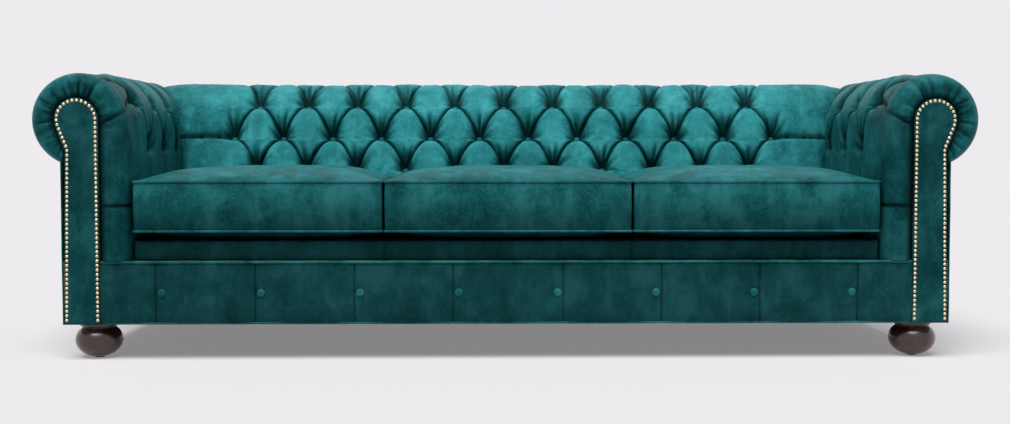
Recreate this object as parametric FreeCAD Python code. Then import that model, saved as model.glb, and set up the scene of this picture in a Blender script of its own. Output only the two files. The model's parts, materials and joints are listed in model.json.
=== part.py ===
import FreeCAD, Part
import math
import os

# A three-seat chesterfield sofa with rolled arms and a rolled back of one height.
# Millimetres. X runs along the sofa, Y from the front to the back, Z up.
# The origin is on the floor, under the middle of the sofa's outline.

Vector = FreeCAD.Vector

# Seat and overall form
seat_width = 1930.0
seat_depth = 600.0
roll_radius = 120.0
roll_height = 617.0
arm_roll_inset = 135.0
back_roll_inset = 200.0
roll_overhang = 78.0
back_lean = 15.0
arm_lean = 0.0

# Levels
leg_height = 92.0
frame_base = 95.0
frame_top = 250.0
apron_top = 254.0
deck_top = 305.0
cushion_low_welt = 329.0
cushion_top_welt = 461.0
rail_rise = 13.0
rail_depth = 38.0

# Tufting
button_pitch = 149.7
back_row_first = 8.0
back_row_spacing = 99.0
back_row_count = 4
back_button_columns = 12
arm_row_first = 9.0
arm_row_spacing = 111.0
arm_row_count = 3
arm_first_button = 160.0
arm_button_pitch = 165.0
fold_depth = 22.0
puff = 34.0
pleat_rise = 8.0
hem_rise = 26.0
pad_thickness = 20.0
arm_front_fullness = 0.35
corner_fullness = 0.3
corner_blends = [(0.3, 0.7), (0.65, 1.0)]
corner_button_offset = 17.0
button_radius = 12.0
button_top_radius = 8.0
button_height = 7.0
button_sides = 12

# Scroll rim and facing of the arm front
rim_depth = 45.0
rim_front_radius = 90.0
rim_rounding = [(1.0, 1.0), (0.5, 0.93), (0.2, 0.65), (0.04, 0.25), (0.0, 0.0)]
recess_depth = 12.0
facing_radius = 56.0
facing_thickness = 7.0
facing_flare = 22.0
facing_flare_rounding = [(1.0, 0.0), (0.4, 0.35), (0.0, 1.0)]
facing_edge = 1.0
neck_drop = 82.0
neck_inset = 7.0

# Apron and deck border
apron_front = 4.0
apron_middle_front = 5.4
apron_back = 30.0
apron_button_pitch = 254.0
apron_button_count = 8
apron_flat = 11.0
apron_fold_offset = 14.0
apron_fold_width = 5.0
apron_fold_depth = 6.0
border_front = 38.0
border_thickness = 6.0

# Loose cushions
cushion_count = 3
cushion_gap = 1.0
cushion_front = 6.0
cushion_crown = 30.0
cushion_side_swell = 9.0
cushion_corner_draw = 7.0
cushion_skin = 4.0
cushion_base_edge = 60.0
cushion_base_bow = 0.35
cushion_form = [(0, 0.12, 1), (0.05, 0.42, 0.6), (0.13, 0.7, 0.25), (0.27, 0.92, 0.05), (0.5, 1, 0)]
core_form = [(0, 0.15, 1), (0.2, 0.8, 0.2)]
rest_gap = 0.3

# Wooden frame and webbing
board = 26.0
stump_thickness = 22.0
frame_inset = 75.0
foam_depth = 33.0
web_thickness = 2.0
web_width = 60.0
web_pitch = 110.0
web_pairs = 8
side_web_pitch = 105.0
cover_thickness = 4.0
cover_front = 4.0
upright_thickness = 30.0
upright_pairs = 2
upright_pitch = 440.0
corner_post_width = 45.0
corner_post_depth = 48.0
cross_rail_offset = 330.0
cross_rail_height = 145.0
corner_block_leg = 100.0
top_rail_width = 40.0
tuck_rail_height = 45.0
arm_upright_offset = 62.0

# Feet
foot_inset = 75.0
foot_rear_inset = 66.0
foot_radius = 61.0
foot_neck_radius = 48.5
foot_base_radius = 28.0
foot_neck_height = 84.0
glide_radius = 12.0
glide_height = 4.0
plate_size = 70.0
bolt_radius = 5.0
bolt_clearance = 0.2
bolt_foot_depth = 52.0
dust_cover_thickness = 1.5

# Chords that draw the arcs
cell_chords = 6
core_chords = 4
head_chords = 7
boxing_chords = 4
crown_chords = 10
base_chords = 2
bun_chords = 8

# Sizes that follow from the ones above
seat_half = seat_width / 2
arm_reach = arm_roll_inset + roll_radius
back_reach = back_roll_inset + roll_radius
total_depth = seat_depth + back_reach
front = -total_depth / 2
mitre = back_reach / arm_reach
arm_outside = arm_reach - roll_overhang
arm_frame = arm_outside - cover_thickness
back_outside = arm_outside * mitre
back_frame = arm_frame * mitre
fold_radius = roll_radius - fold_depth
core_radius = fold_radius - pad_thickness
frame_rear = seat_depth + back_frame
stump_rear = rim_depth + stump_thickness
arm_upright_front = seat_depth + arm_upright_offset
rail_top = roll_height + rail_rise
upright_top = rail_top - rail_depth
neck_height = roll_height - neck_drop
head_radius = core_radius * math.cos(math.pi / 4 / core_chords) - rest_gap
apron_half = seat_half + arm_roll_inset - facing_radius - cushion_gap / 2
column_step = button_pitch / 2
arm_column_step = arm_button_pitch / 2
facing_seat = arm_roll_inset - facing_radius
arm_swell = fold_radius + puff - roll_radius
foot_x = seat_half + arm_outside - foot_inset
foot_rear = seat_depth + back_outside - foot_rear_inset


def between(a, b, t):
    return a + (b - a) * t


def save(name, *solids):
    shape = solids[0] if len(solids) == 1 else Part.makeCompound(list(solids))
    shape.exportStep("parts/" + name + ".step")


def box(x0, x1, w0, w1, z0, z1):
    """A block between two points, w being the depth behind the sofa's front plane."""
    low, high = min(x0, x1), max(x0, x1)
    return Part.makeBox(high - low, w1 - w0, z1 - z0, Vector(low, front + w0, z0))


def arm_point(side, u, z, w):
    """A point of an arm: u outward from the seat's side, w behind the front plane."""
    return Vector(side * (seat_half + u), front + w, z)


def arm_box(side, u0, u1, w0, w1, z0, z1):
    return box(side * (seat_half + u0), side * (seat_half + u1), w0, w1, z0, z1)


def back_point(u, z, x):
    """A point of the back: u behind the seat's rear line."""
    return Vector(x, front + seat_depth + u, z)


def polygon_prism(points, direction):
    wire = Part.makePolygon(points + [points[0]])
    return Part.Face(wire).extrude(direction)


def arc(a, b, c):
    return Part.Arc(a, b, c).toShape()


def arc_chords(a, b, c, count):
    """The corners of an arc through three flat points, drawn with a few chords."""
    flat = [Vector(p[0], p[1], 0) for p in (a, b, c)]
    return [(p.x, p.y) for p in arc(*flat).discretize(Number=count + 1)]


def facets(a, b):
    """Flat facets between two rows of points, where either row may draw together at a point."""
    faces = []
    for i in range(len(a) - 1):
        for ring in ((a[i], a[i + 1], b[i + 1]), (a[i], b[i + 1], b[i])):
            sides = [(ring[k] - ring[k - 1]).Length for k in range(3)]
            if min(sides) > 0.01:
                faces.append(Part.Face(Part.makePolygon(list(ring) + [ring[0]])))
    return faces


def closed_solid(faces):
    """The solid inside a set of faces that meet edge to edge."""
    shell = Part.makeCompound(faces)
    shell.sewShape(0.001)
    solid = Part.Solid(shell.Shells[0])
    if solid.Volume < 0:
        solid.reverse()
    return solid


def ring_face(points):
    return Part.Face(Part.makePolygon(list(points) + [points[0]]))


def ring_loft(rings):
    """A faceted solid through closed rings of equally many points, with flat ends."""
    faces = [ring_face(rings[0]), ring_face(rings[-1])]
    for a, b in zip(rings, rings[1:]):
        faces += facets(list(a) + [a[0]], list(b) + [b[0]])
    return closed_solid(faces)


def line(a, b):
    return Part.LineSegment(a, b).toShape()


def profile_point(roll, s, lift):
    """A point of a roll's fold line, s along it from the crest down the seat side, lifted outward.

    The line is a circle round the roll and then a straight face that leans back from the seat.
    """
    inset, lean = roll
    turn = math.radians(90 - lean)
    if s <= fold_radius * turn:
        angle = s / fold_radius
        radius = fold_radius + lift
        return inset - radius * math.sin(angle), roll_height + radius * math.cos(angle)
    down = s - fold_radius * turn
    radius = fold_radius + lift
    u = inset - radius * math.sin(turn) - down * math.cos(turn)
    return u, roll_height + radius * math.cos(turn) - down * math.sin(turn)


def profile_length(roll, z, lift):
    """The distance along the fold line at which its lifted face comes down to the height z."""
    turn = math.radians(90 - roll[1])
    drop = roll_height + (fold_radius + lift) * math.cos(turn) - z
    return fold_radius * turn + drop / math.sin(turn)


arm_roll = (arm_roll_inset, arm_lean)
back_roll = (back_roll_inset, back_lean)
side_length = -fold_radius * math.pi / 2
arm_rows = [arm_row_first + i * arm_row_spacing for i in range(arm_row_count)]
back_rows = [back_row_first + i * back_row_spacing for i in range(back_row_count)]


def tack_length(roll, frame):
    """Where the roll's leather is tacked, under its outer side, as a distance past the crest."""
    return -fold_radius * (math.pi - math.asin((frame - roll[0]) / roll_radius))


def lifts_for(fullness):
    """Arc heights over the fold line: over the roll, in each diamond, and down to the hem."""
    swell = [math.sin(g * math.pi / 2) for g in fullness]
    over_roll = between(pleat_rise, fold_depth, swell[0])
    diamonds = [puff * g for g in swell[1:-1]]
    return [over_roll] + diamonds + [between(pleat_rise, puff, swell[-1])]


def column_station(rows, parity, at, skew=0.0):
    """A section through one column of buttons, which holds every second row."""
    last = len(rows) - 1
    held = [j if j % 2 == parity else j + 1 for j in range(last)]
    folds = [(rows[r], 0.0) for r in held]
    full = [1.0 if held[0] == 1 else 0.0]
    full += [1.0 if held[j + 1] > held[j] else 0.0 for j in range(last - 1)]
    full += [1.0 if held[-1] == last - 1 else 0.0]
    return {"at": at, "skew": skew, "folds": folds, "full": full}


def blend_station(a, b, t, least=0.0):
    """A section between two others, with its cells at least so full."""
    mixed = [
        (between(p[0], q[0], t), between(p[1], q[1], t)) for p, q in zip(a["folds"], b["folds"])
    ]
    full = [max(between(g, h, t), least) for g, h in zip(a["full"], b["full"])]
    station = {"at": between(a["at"], b["at"], t), "skew": between(a["skew"], b["skew"], t)}
    station["folds"] = mixed
    station["full"] = full
    station["ends"] = (a, b, t)
    return station


def fold_places(roll, station):
    """The folds' points in the section. Between two sections they lie on straight lines."""
    if "ends" in station:
        a, b, t = station["ends"]
        pairs = zip(fold_places(roll, a), fold_places(roll, b))
        return [(between(p[0], q[0], t), between(p[1], q[1], t)) for p, q in pairs]
    return [profile_point(roll, s, lift) for s, lift in station["folds"]]


def section_cells(roll, frame, hem, station, place):
    """The arcs of one section as rows of chord corners, cell by cell, from the tack to the hem."""
    lifts = lifts_for(station["full"])
    tack = tack_length(roll, frame)
    hem_length = profile_length(roll, hem, hem_rise)
    lengths = [tack, side_length] + [s for s, lift in station["folds"]] + [hem_length]
    spots = [profile_point(roll, tack, fold_depth), profile_point(roll, side_length, lifts[0])]
    spots += fold_places(roll, station)
    spots.append(profile_point(roll, hem_length, hem_rise))
    rises = [(fold_depth + lifts[0]) / 2] + lifts
    cells = []
    for i, rise in enumerate(rises):
        top = profile_point(roll, (lengths[i] + lengths[i + 1]) / 2, rise)
        if math.dist(spots[i], spots[i + 1]) < 0.01:
            row = [spots[i]] * (cell_chords + 1)
        else:
            row = arc_chords(spots[i], top, spots[i + 1], cell_chords)
        cells.append([place(u, z, station["at"] + station["skew"] * u) for u, z in row])
    return cells


def core_path(roll, frame, hem, radius):
    """The inner line of a padded cover: tack, outer side, crest, end of the curve, hem."""
    turn = math.radians(90 - roll[1])
    inset = roll[0]
    low = roll_height - math.sqrt(radius**2 - (frame - inset) ** 2)
    half = (math.pi - math.asin((frame - inset) / radius) + math.pi / 2) / 2

    def on_circle(angle):
        return inset - radius * math.sin(angle), roll_height + radius * math.cos(angle)

    bend = on_circle(turn)
    drop = (bend[1] - hem) / math.sin(turn)
    foot = (bend[0] - drop * math.cos(turn), hem)
    return [
        ((frame, low), on_circle(-half), on_circle(-math.pi / 2)),
        (on_circle(-math.pi / 2), on_circle(-math.pi / 4), on_circle(0)),
        (on_circle(0), on_circle(turn / 2), bend),
        (bend, None, foot),
    ]


def path_points(path, place, at, skew):
    """The inner line's chord corners in one section."""
    points = []
    for a, b, c in path:
        row = arc_chords(a, b, c, core_chords) if b else [a, c]
        points += row if not points else row[1:]
    return [place(u, z, at + skew * u) for u, z in points]


def padded_cover(roll, frame, hem, stations, place):
    """A tufted leather cover with its padding: raised diamonds outside, a smooth roll inside."""
    sections = [section_cells(roll, frame, hem, s, place) for s in stations]
    faces = []
    for a, b in zip(sections, sections[1:]):
        for cell_a, cell_b in zip(a, b):
            faces += facets(cell_a, cell_b)
    path = core_path(roll, frame, hem, core_radius)
    inner = [path_points(path, place, s["at"], s["skew"]) for s in (stations[0], stations[-1])]
    faces += facets(inner[0], inner[1])
    for cell, corner in ((0, 0), (-1, -1)):
        edge = [s[cell][corner] for s in sections]
        faces.append(ring_face(edge + [inner[1][corner], inner[0][corner]]))
    for section, core in ((sections[0], inner[0]), (sections[-1], inner[1])):
        outline = []
        for cell in section:
            outline += cell if (cell[0] - cell[-1]).Length > 0.01 else []
        ring = [p for i, p in enumerate(outline) if i == 0 or (p - outline[i - 1]).Length > 0.01]
        faces.append(ring_face(ring + core[::-1]))
    return closed_solid(faces)


def back_stations():
    """The back's sections from one mitred end to the other."""
    steps = back_button_columns - 1
    columns = []
    for i in range(-steps, steps + 1):
        columns.append(column_station(back_rows, (i + steps) % 2, i * column_step))
    corner_fold = back_rows[2] + back_row_spacing / 6
    corner = {"folds": [(back_rows[1], pleat_rise), (corner_fold, 0.0), (corner_fold, 0.0)]}
    corner["full"] = [0.0, corner_fullness, 0.0, corner_fullness]
    left = dict(corner, at=-seat_half, skew=-1 / mitre)
    right = dict(corner, at=seat_half, skew=1 / mitre)
    left_end = [blend_station(left, columns[0], t, least) for t, least in corner_blends]
    right_end = [blend_station(right, columns[-1], t, least) for t, least in corner_blends]
    for station in left_end + right_end:
        station["full"][2] = 0.0
    stations = [left] + left_end
    for a, b in zip(columns, columns[1:]):
        stations += [a, blend_station(a, b, 0.5)]
    return stations + [columns[-1]] + right_end[::-1] + [right]


def arm_columns():
    """The distances behind the front of an arm's columns of buttons, short of the corner."""
    count = 1 + int((seat_depth - arm_first_button) / arm_column_step)
    return [arm_first_button + i * arm_column_step for i in range(count)]


def arm_stations():
    """An arm's sections from its smooth front end to the mitred corner."""
    places = arm_columns()
    columns = [column_station(arm_rows, (i + 1) % 2, w) for i, w in enumerate(places)]
    smooth = {"at": rim_depth, "skew": 0.0, "full": [1.0, arm_front_fullness, 1.0]}
    smooth["folds"] = [(arm_rows[0], fold_depth), (arm_rows[2], puff)]
    corner = column_station(arm_rows, (len(places) + 1) % 2, seat_depth, mitre)
    corner["full"] = [0.0] * len(corner["full"])
    columns = [smooth] + columns + [corner]
    stations = []
    for a, b in zip(columns, columns[1:]):
        stations += [a, blend_station(a, b, 0.5)]
    return stations + [corner]


def button(centre, normal):
    """A leather-covered button: a low twelve-sided dome."""
    across = normal.cross(Vector(0, 0, 1))
    if across.Length < 0.1:
        across = normal.cross(Vector(1, 0, 0))
    across.normalize()
    upward = across.cross(normal)
    rings = []
    for radius, height in ((button_radius, 0.0), (button_top_radius, button_height)):
        ring = []
        for i in range(button_sides):
            angle = 2 * math.pi * i / button_sides
            spoke = across * (radius * math.cos(angle)) + upward * (radius * math.sin(angle))
            ring.append(centre + normal * height + spoke)
        rings.append(ring)
    return ring_loft(rings)


def tuft_button(roll, s, place, at):
    foot = place(*profile_point(roll, s, 0.0), at)
    tip = place(*profile_point(roll, s, 1.0), at)
    return button(foot, tip - foot)


def make_back_buttons():
    buttons = []
    steps = back_button_columns - 1
    for i in range(-steps, steps + 1):
        for row in back_rows[(i + steps) % 2 :: 2]:
            buttons.append(tuft_button(back_roll, row, back_point, i * column_step))
    save("back_buttons", *buttons)


def make_arm_buttons(side, name):
    def place(u, z, w):
        return arm_point(side, u, z, w)

    buttons = []
    for i, w in enumerate(arm_columns()):
        for row in arm_rows[(i + 1) % 2 :: 2]:
            buttons.append(tuft_button(arm_roll, row, place, w))
    corner_u = profile_point(arm_roll, arm_rows[1], 0.0)[0]
    corner_w = seat_depth + corner_u * mitre - corner_button_offset
    buttons.append(tuft_button(arm_roll, arm_rows[1], place, corner_w))
    save(name + "_arm_buttons", *buttons)


def foam_section(roll, frame, hem, rail_back, place, at, skew):
    """The foam under a padded cover, notched round the top rail and flat on the webbing."""
    path = core_path(roll, frame, hem, core_radius - rest_gap)
    corners = [(web_face(roll, hem), hem), (web_face(roll, rail_top), rail_top)]
    corners += [(rail_back, rail_top), (rail_back, upright_top), (frame, upright_top)]
    return path_points(path, place, at, skew) + [place(u, z, at + skew * u) for u, z in corners]


def frame_face(roll, z):
    """The seat side of a roll's wooden frame at the height z."""
    if roll is arm_roll:
        return frame_inset
    face = profile_point(roll, profile_length(roll, z, 0.0), 0.0)[0]
    return face + (pad_thickness + foam_depth + web_thickness) / math.cos(math.radians(roll[1]))


def web_face(roll, z):
    """The seat side of the webbing stretched over the frame at the height z."""
    return frame_face(roll, z) - web_thickness / math.cos(math.radians(roll[1]))


back_rail_rear = frame_face(back_roll, upright_top) + top_rail_width
arm_rail_rear = frame_inset + top_rail_width


def make_back():
    hem = deck_top + rest_gap
    cover = padded_cover(back_roll, back_frame, hem, back_stations(), back_point)
    save("back_tufted_cover", cover)
    ends = [
        foam_section(back_roll, back_frame, hem, back_rail_rear, back_point, x, skew)
        for x, skew in ((-seat_half, -1 / mitre), (seat_half, 1 / mitre))
    ]
    save("back_foam", ring_loft(ends))
    make_back_buttons()
    return cover


def make_arm(side, name):
    def place(u, z, w):
        return arm_point(side, u, z, w)

    cover = padded_cover(arm_roll, arm_frame, apron_top, arm_stations(), place)
    save(name + "_arm_tufted_cover", cover)
    ends = [
        foam_section(arm_roll, arm_frame, apron_top, arm_rail_rear, place, at, skew)
        for at, skew in ((stump_rear, 0.0), (seat_depth, mitre))
    ]
    save(name + "_arm_foam", ring_loft(ends))
    make_arm_buttons(side, name)
    make_rim(side, name)
    make_facing(side, name)


def rim_ring(side, w, radius):
    """A section of the scroll rim: the roll's circle with the arm's straight sides under it."""
    inset = arm_roll_inset
    neck = roll_height - math.sqrt(radius**2 - (arm_frame - inset) ** 2)
    half = (math.pi - math.asin((arm_frame - inset) / radius) + math.pi / 2) / 2
    swell = arm_swell * (radius - rim_front_radius) / (roll_radius - rim_front_radius)

    def on_circle(angle):
        return inset + radius * math.sin(angle), roll_height + radius * math.cos(angle)

    outer, top, inner = on_circle(math.pi / 2), on_circle(0), on_circle(-math.pi / 2)
    points = [(arm_frame, apron_top)]
    points += arc_chords((arm_frame, neck), on_circle(half), outer, cell_chords)
    points += arc_chords(outer, on_circle(math.pi / 4), top, cell_chords)[1:]
    points += arc_chords(top, on_circle(-math.pi / 4), inner, cell_chords)[1:]
    points.append((inset - radius - swell, apron_top))
    return [arm_point(side, u, z, w) for u, z in points]


def facing_ring(side, w, grow, low):
    """The facing's outline: a straight inner side, a round head and a slightly waisted outer side."""
    radius = facing_radius + grow
    inset = arm_roll_inset
    outer = arm_frame - facing_edge + grow
    waist = (outer - neck_inset, neck_height - grow)
    reach_u = waist[0] - inset
    reach_z = waist[1] - roll_height
    bearing = math.atan2(reach_z, reach_u) + math.acos(radius / math.hypot(reach_u, reach_z))

    def on_head(angle):
        return inset + radius * math.cos(angle), roll_height + radius * math.sin(angle)

    top, side_point = on_head(math.pi / 2), on_head(math.pi)
    points = [(outer, low), waist]
    points += arc_chords(on_head(bearing), on_head((bearing + math.pi / 2) / 2), top, head_chords)
    points += arc_chords(top, on_head(math.pi * 3 / 4), side_point, head_chords)[1:]
    points.append((inset - radius, low))
    return [arm_point(side, u, z, w) for u, z in points]


def make_rim(side, name):
    """The smooth padded rim round the front of the scroll, with the recess that holds the facing."""
    rings = []
    for t, r in rim_rounding:
        rings.append(rim_ring(side, rim_depth * t, between(rim_front_radius, roll_radius, r)))
    below = apron_top - facing_flare
    flares = []
    for t, r in facing_flare_rounding:
        grow = between(facing_edge, facing_flare, r)
        flares.append(facing_ring(side, recess_depth * t, grow, below))
    save(name + "_scroll_rim", ring_loft(rings).cut(ring_loft(flares)))


def make_facing(side, name):
    panel = ring_face(facing_ring(side, recess_depth - facing_thickness, 0.0, leg_height))
    save(name + "_facing", panel.extrude(Vector(0, facing_thickness, 0)))


def make_arm_frame(side, name):
    """The stump with its scroll head, the rear upright, the two rails and the webbing of an arm."""

    def member(u0, u1, w0, w1, z0, z1):
        return arm_box(side, u0, u1, w0, w1, z0, z1)

    column = member(frame_inset, arm_frame, rim_depth, stump_rear, frame_base, roll_height)
    centre = arm_point(side, arm_roll_inset, roll_height, rim_depth)
    head = Part.makeCylinder(head_radius, stump_thickness, centre, Vector(0, 1, 0))
    foot = member(facing_seat, arm_frame, recess_depth, rim_depth, frame_base, apron_top)
    save(name + "_arm_stump", column.fuse(head).fuse(foot).removeSplitter())
    rear = arm_upright_front + stump_thickness
    upright = member(frame_inset, arm_frame, arm_upright_front, rear, frame_top, upright_top)
    save(name + "_arm_rear_upright", upright)
    rail = member(frame_inset, arm_rail_rear, stump_rear, rear, upright_top, rail_top)
    save(name + "_arm_top_rail", rail)
    tuck_top = apron_top + tuck_rail_height
    tuck_rear = frame_inset + board
    rail = member(frame_inset, tuck_rear, stump_rear, arm_upright_front, apron_top, tuck_top)
    save(name + "_arm_tuck_rail", rail)
    straps = []
    for i in range(int((arm_upright_front - stump_rear) / web_pitch)):
        w = stump_rear + web_pitch * (i + 0.5)
        u = frame_inset - web_thickness
        strap = member(u, frame_inset, w - web_width / 2, w + web_width / 2, apron_top, rail_top)
        straps.append(strap)
    save(name + "_arm_webbing", *straps)


def cover_top(inset, frame):
    """Where an outside cover ends, just under the roll."""
    return roll_height - math.sqrt(roll_radius**2 - (frame - inset) ** 2) - rest_gap


def make_outside_covers():
    top = cover_top(arm_roll_inset, arm_frame)
    for side, name in ((-1, "left"), (1, "right")):
        cover = arm_box(side, arm_frame, arm_outside, cover_front, frame_rear, leg_height, top)
        save(name + "_outside_cover", cover)
    half = seat_half + arm_outside
    top = cover_top(back_roll_inset, back_frame)
    cover = box(-half, half, frame_rear, seat_depth + back_outside, leg_height, top)
    save("back_outside_cover", cover)


def lean_prism(low, high, back_low, back_high, x0, x1):
    """A piece of the back's frame whose seat side follows the lean of the back."""
    spots = [
        (frame_face(back_roll, low), low),
        (frame_face(back_roll, high), high),
        (back_high, high),
        (back_low, low),
    ]
    return polygon_prism([back_point(u, z, x0) for u, z in spots], Vector(x1 - x0, 0, 0))


def make_back_frame():
    """Uprights, corner posts, top and tuck rails and webbing of the back."""
    half = upright_thickness / 2
    uprights = []
    for i in range(-upright_pairs, upright_pairs + 1):
        x = i * upright_pitch
        uprights.append(lean_prism(frame_top, upright_top, back_frame, back_frame, x - half, x + half))
    save("back_uprights", *uprights)
    posts = []
    post_front = frame_rear - corner_post_depth
    post_outer = frame_inset + corner_post_width
    for side in (-1, 1):
        post = arm_box(side, frame_inset, post_outer, post_front, frame_rear, frame_top, upright_top)
        posts.append(post)
    save("back_corner_posts", *posts)
    rail_half = seat_half + frame_face(back_roll, upright_top) / mitre - cushion_gap
    rail = lean_prism(upright_top, rail_top, back_rail_rear, back_rail_rear, -rail_half, rail_half)
    save("back_top_rail", rail)
    tuck_low = apron_top
    tuck_high = deck_top - rest_gap
    thick = board / math.cos(math.radians(back_lean))
    spots = [
        (frame_face(back_roll, tuck_low) - thick, tuck_low),
        (frame_face(back_roll, tuck_high) - thick, tuck_high),
        (frame_face(back_roll, tuck_high), tuck_high),
        (frame_face(back_roll, tuck_low), tuck_low),
    ]
    tuck_half = seat_half - cushion_gap
    corners = [back_point(u, z, -tuck_half) for u, z in spots]
    save("back_tuck_rail", polygon_prism(corners, Vector(2 * tuck_half, 0, 0)))
    low = deck_top + rest_gap
    spots = [
        (web_face(back_roll, low), low),
        (web_face(back_roll, rail_top), rail_top),
        (frame_face(back_roll, rail_top), rail_top),
        (frame_face(back_roll, low), low),
    ]
    straps = []
    for i in range(-web_pairs, web_pairs):
        x0 = (i + 0.5) * web_pitch - web_width / 2
        corners = [back_point(u, z, x0) for u, z in spots]
        straps.append(polygon_prism(corners, Vector(web_width, 0, 0)))
    save("back_webbing", *straps)
    return frame_face(back_roll, tuck_low) - thick


def make_seat_frame():
    half = seat_half + frame_inset
    outer = seat_half + arm_frame
    rear = frame_rear - board
    front_rear = apron_back + board
    save("front_seat_rail", box(-half, half, apron_back, front_rear, frame_base, frame_top))
    save("back_seat_rail", box(-outer, outer, rear, frame_rear, frame_base, frame_top))
    blocks = []
    for side, name in ((-1, "left"), (1, "right")):
        u0 = arm_frame - board
        save(name + "_seat_rail", arm_box(side, u0, arm_frame, stump_rear, rear, frame_base, frame_top))
        for w, turn in ((stump_rear, 1), (rear, -1)):
            corner = [
                arm_point(side, u0, frame_base, w),
                arm_point(side, u0 - corner_block_leg, frame_base, w),
                arm_point(side, u0, frame_base, w + turn * corner_block_leg),
            ]
            blocks.append(polygon_prism(corner, Vector(0, 0, cross_rail_height)))
    save("corner_blocks", *blocks)
    cross = []
    for side in (-1, 1):
        x = side * cross_rail_offset
        top = frame_base + cross_rail_height
        cross.append(box(x - board / 2, x + board / 2, front_rear, rear, frame_base, top))
    save("seat_cross_rails", *cross)


def make_suspension(tuck_front):
    """Two layers of webbing, the deck pad and its cover."""
    outer = seat_half + arm_frame
    low = frame_top + web_thickness
    lengthwise = []
    for i in range(1 + int((arm_upright_front - stump_rear - web_width) / side_web_pitch)):
        w = stump_rear + side_web_pitch * i
        lengthwise.append(box(-outer, outer, w, w + web_width, frame_top, low))
    save("seat_webbing_lengthwise", *lengthwise)
    crosswise = []
    for i in range(-web_pairs, web_pairs):
        x0 = (i + 0.5) * web_pitch - web_width / 2
        strap = box(x0, x0 + web_width, border_front, frame_rear, low, low + web_thickness)
        crosswise.append(strap)
    save("seat_webbing_crosswise", *crosswise)
    half = seat_half - cushion_gap
    deck_front = border_front + border_thickness
    deck_rear = seat_depth + tuck_front - cushion_gap
    cover_low = deck_top - 2 * web_thickness
    save("deck_border", box(-half, half, border_front, deck_front, apron_top, deck_top))
    save("deck_pad", box(-half, half, deck_front, deck_rear, apron_top, cover_low))
    save("deck_cover", box(-half, half, deck_front, deck_rear, cover_low, deck_top))


def apron_line(side):
    """The apron's front line from the middle to one end: a flat at each button, a fold beside it."""

    def put(x, w):
        return Vector(side * x, front + w, leg_height)

    edges = []
    start = put(0.0, apron_front)
    crown = apron_middle_front
    for i in range(apron_button_count // 2):
        middle = (i + 0.5) * apron_button_pitch
        flat = put(middle - apron_fold_offset, apron_flat)
        edge = put(middle + apron_fold_offset, apron_flat)
        bottom = put(middle + apron_fold_offset + apron_fold_width / 2, apron_flat + apron_fold_depth)
        edges.append(arc(start, put((abs(start.x) + abs(flat.x)) / 2, crown), flat))
        start = put(middle + apron_fold_offset + apron_fold_width, apron_flat)
        edges += [line(flat, edge), line(edge, bottom), line(bottom, start)]
        crown = apron_front
    end = put(apron_half, apron_flat)
    rear = put(apron_half, apron_back)
    edges.append(arc(start, put((abs(start.x) + apron_half) / 2, crown), end))
    return edges + [line(end, rear), line(rear, put(0.0, apron_back))]


def make_apron():
    """The padded front rail with its covered buttons."""
    edges = apron_line(-1) + apron_line(1)
    face = Part.Face(Part.Wire(Part.__sortEdges__(edges)))
    save("front_apron", face.extrude(Vector(0, 0, apron_top - leg_height)))
    buttons = []
    for i in range(apron_button_count):
        x = (i - (apron_button_count - 1) / 2) * apron_button_pitch
        middle = (leg_height + apron_top) / 2
        buttons.append(button(Vector(x, front + apron_flat, middle), Vector(0, -1, 0)))
    save("apron_buttons", *buttons)


def cushion_ring(x, y0, y1, crown, draw, skin):
    """A cushion's section across X: bulged front and rear boxing, crowned top, flat underside."""
    front_y, rear_y = y0 + draw + skin, y1 - draw - skin
    low, high = cushion_low_welt + skin, cushion_top_welt - skin
    middle_z = (low + high) / 2
    base = deck_top + rest_gap + skin
    edge = cushion_base_edge
    swell = cushion_side_swell
    hang = (low - base) * cushion_base_bow
    a, b = (front_y + swell, low), (front_y + swell, high)
    c, d = (rear_y - swell, high), (rear_y - swell, low)
    e, f = (rear_y - edge, base), (front_y + edge, base)
    points = arc_chords(a, (front_y, middle_z), b, boxing_chords)
    points += arc_chords(b, ((y0 + y1) / 2, high + crown), c, crown_chords)[1:]
    points += arc_chords(c, (rear_y, middle_z), d, boxing_chords)[1:]
    bow = edge * cushion_base_bow
    points += arc_chords(d, (d[0] - bow, base + hang), e, base_chords)[1:]
    points += arc_chords(f, (a[0] + bow, base + hang), a, base_chords)[:-1]
    return [Vector(x, y, z) for y, z in points]


def cushion_solid(x0, x1, y0, y1, form, skin):
    """A cushion's form, even about its middle, set in from the outline by a skin."""
    middle = [place for place in form if place[0] == 0.5]
    half = [place for place in form if place[0] < 0.5]
    rings = []
    for t, crown, draw in half + middle + [(1 - t, c, d) for t, c, d in half[::-1]]:
        x = between(x0 + skin, x1 - skin, t)
        rings.append(cushion_ring(x, y0, y1, cushion_crown * crown, cushion_corner_draw * draw, skin))
    return ring_loft(rings)


def make_cushions(back_cover):
    """The three box cushions, each a hollow leather cover round a foam core."""
    y0 = front + cushion_front
    y1 = back_cover.BoundBox.YMin - cushion_gap
    width = (seat_width - 2 * cushion_gap) / cushion_count
    for i, name in enumerate(("left", "centre", "right")):
        x0 = -seat_half + cushion_gap + i * width + cushion_gap / 2
        x1 = x0 + width - cushion_gap
        outer = cushion_solid(x0, x1, y0, y1, cushion_form, 0.0)
        hollow = cushion_solid(x0, x1, y0, y1, core_form, cushion_skin)
        core = cushion_solid(x0, x1, y0, y1, core_form, cushion_skin + rest_gap)
        save(name + "_cushion_cover", outer.cut(hollow))
        save(name + "_cushion_core", core)


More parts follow.
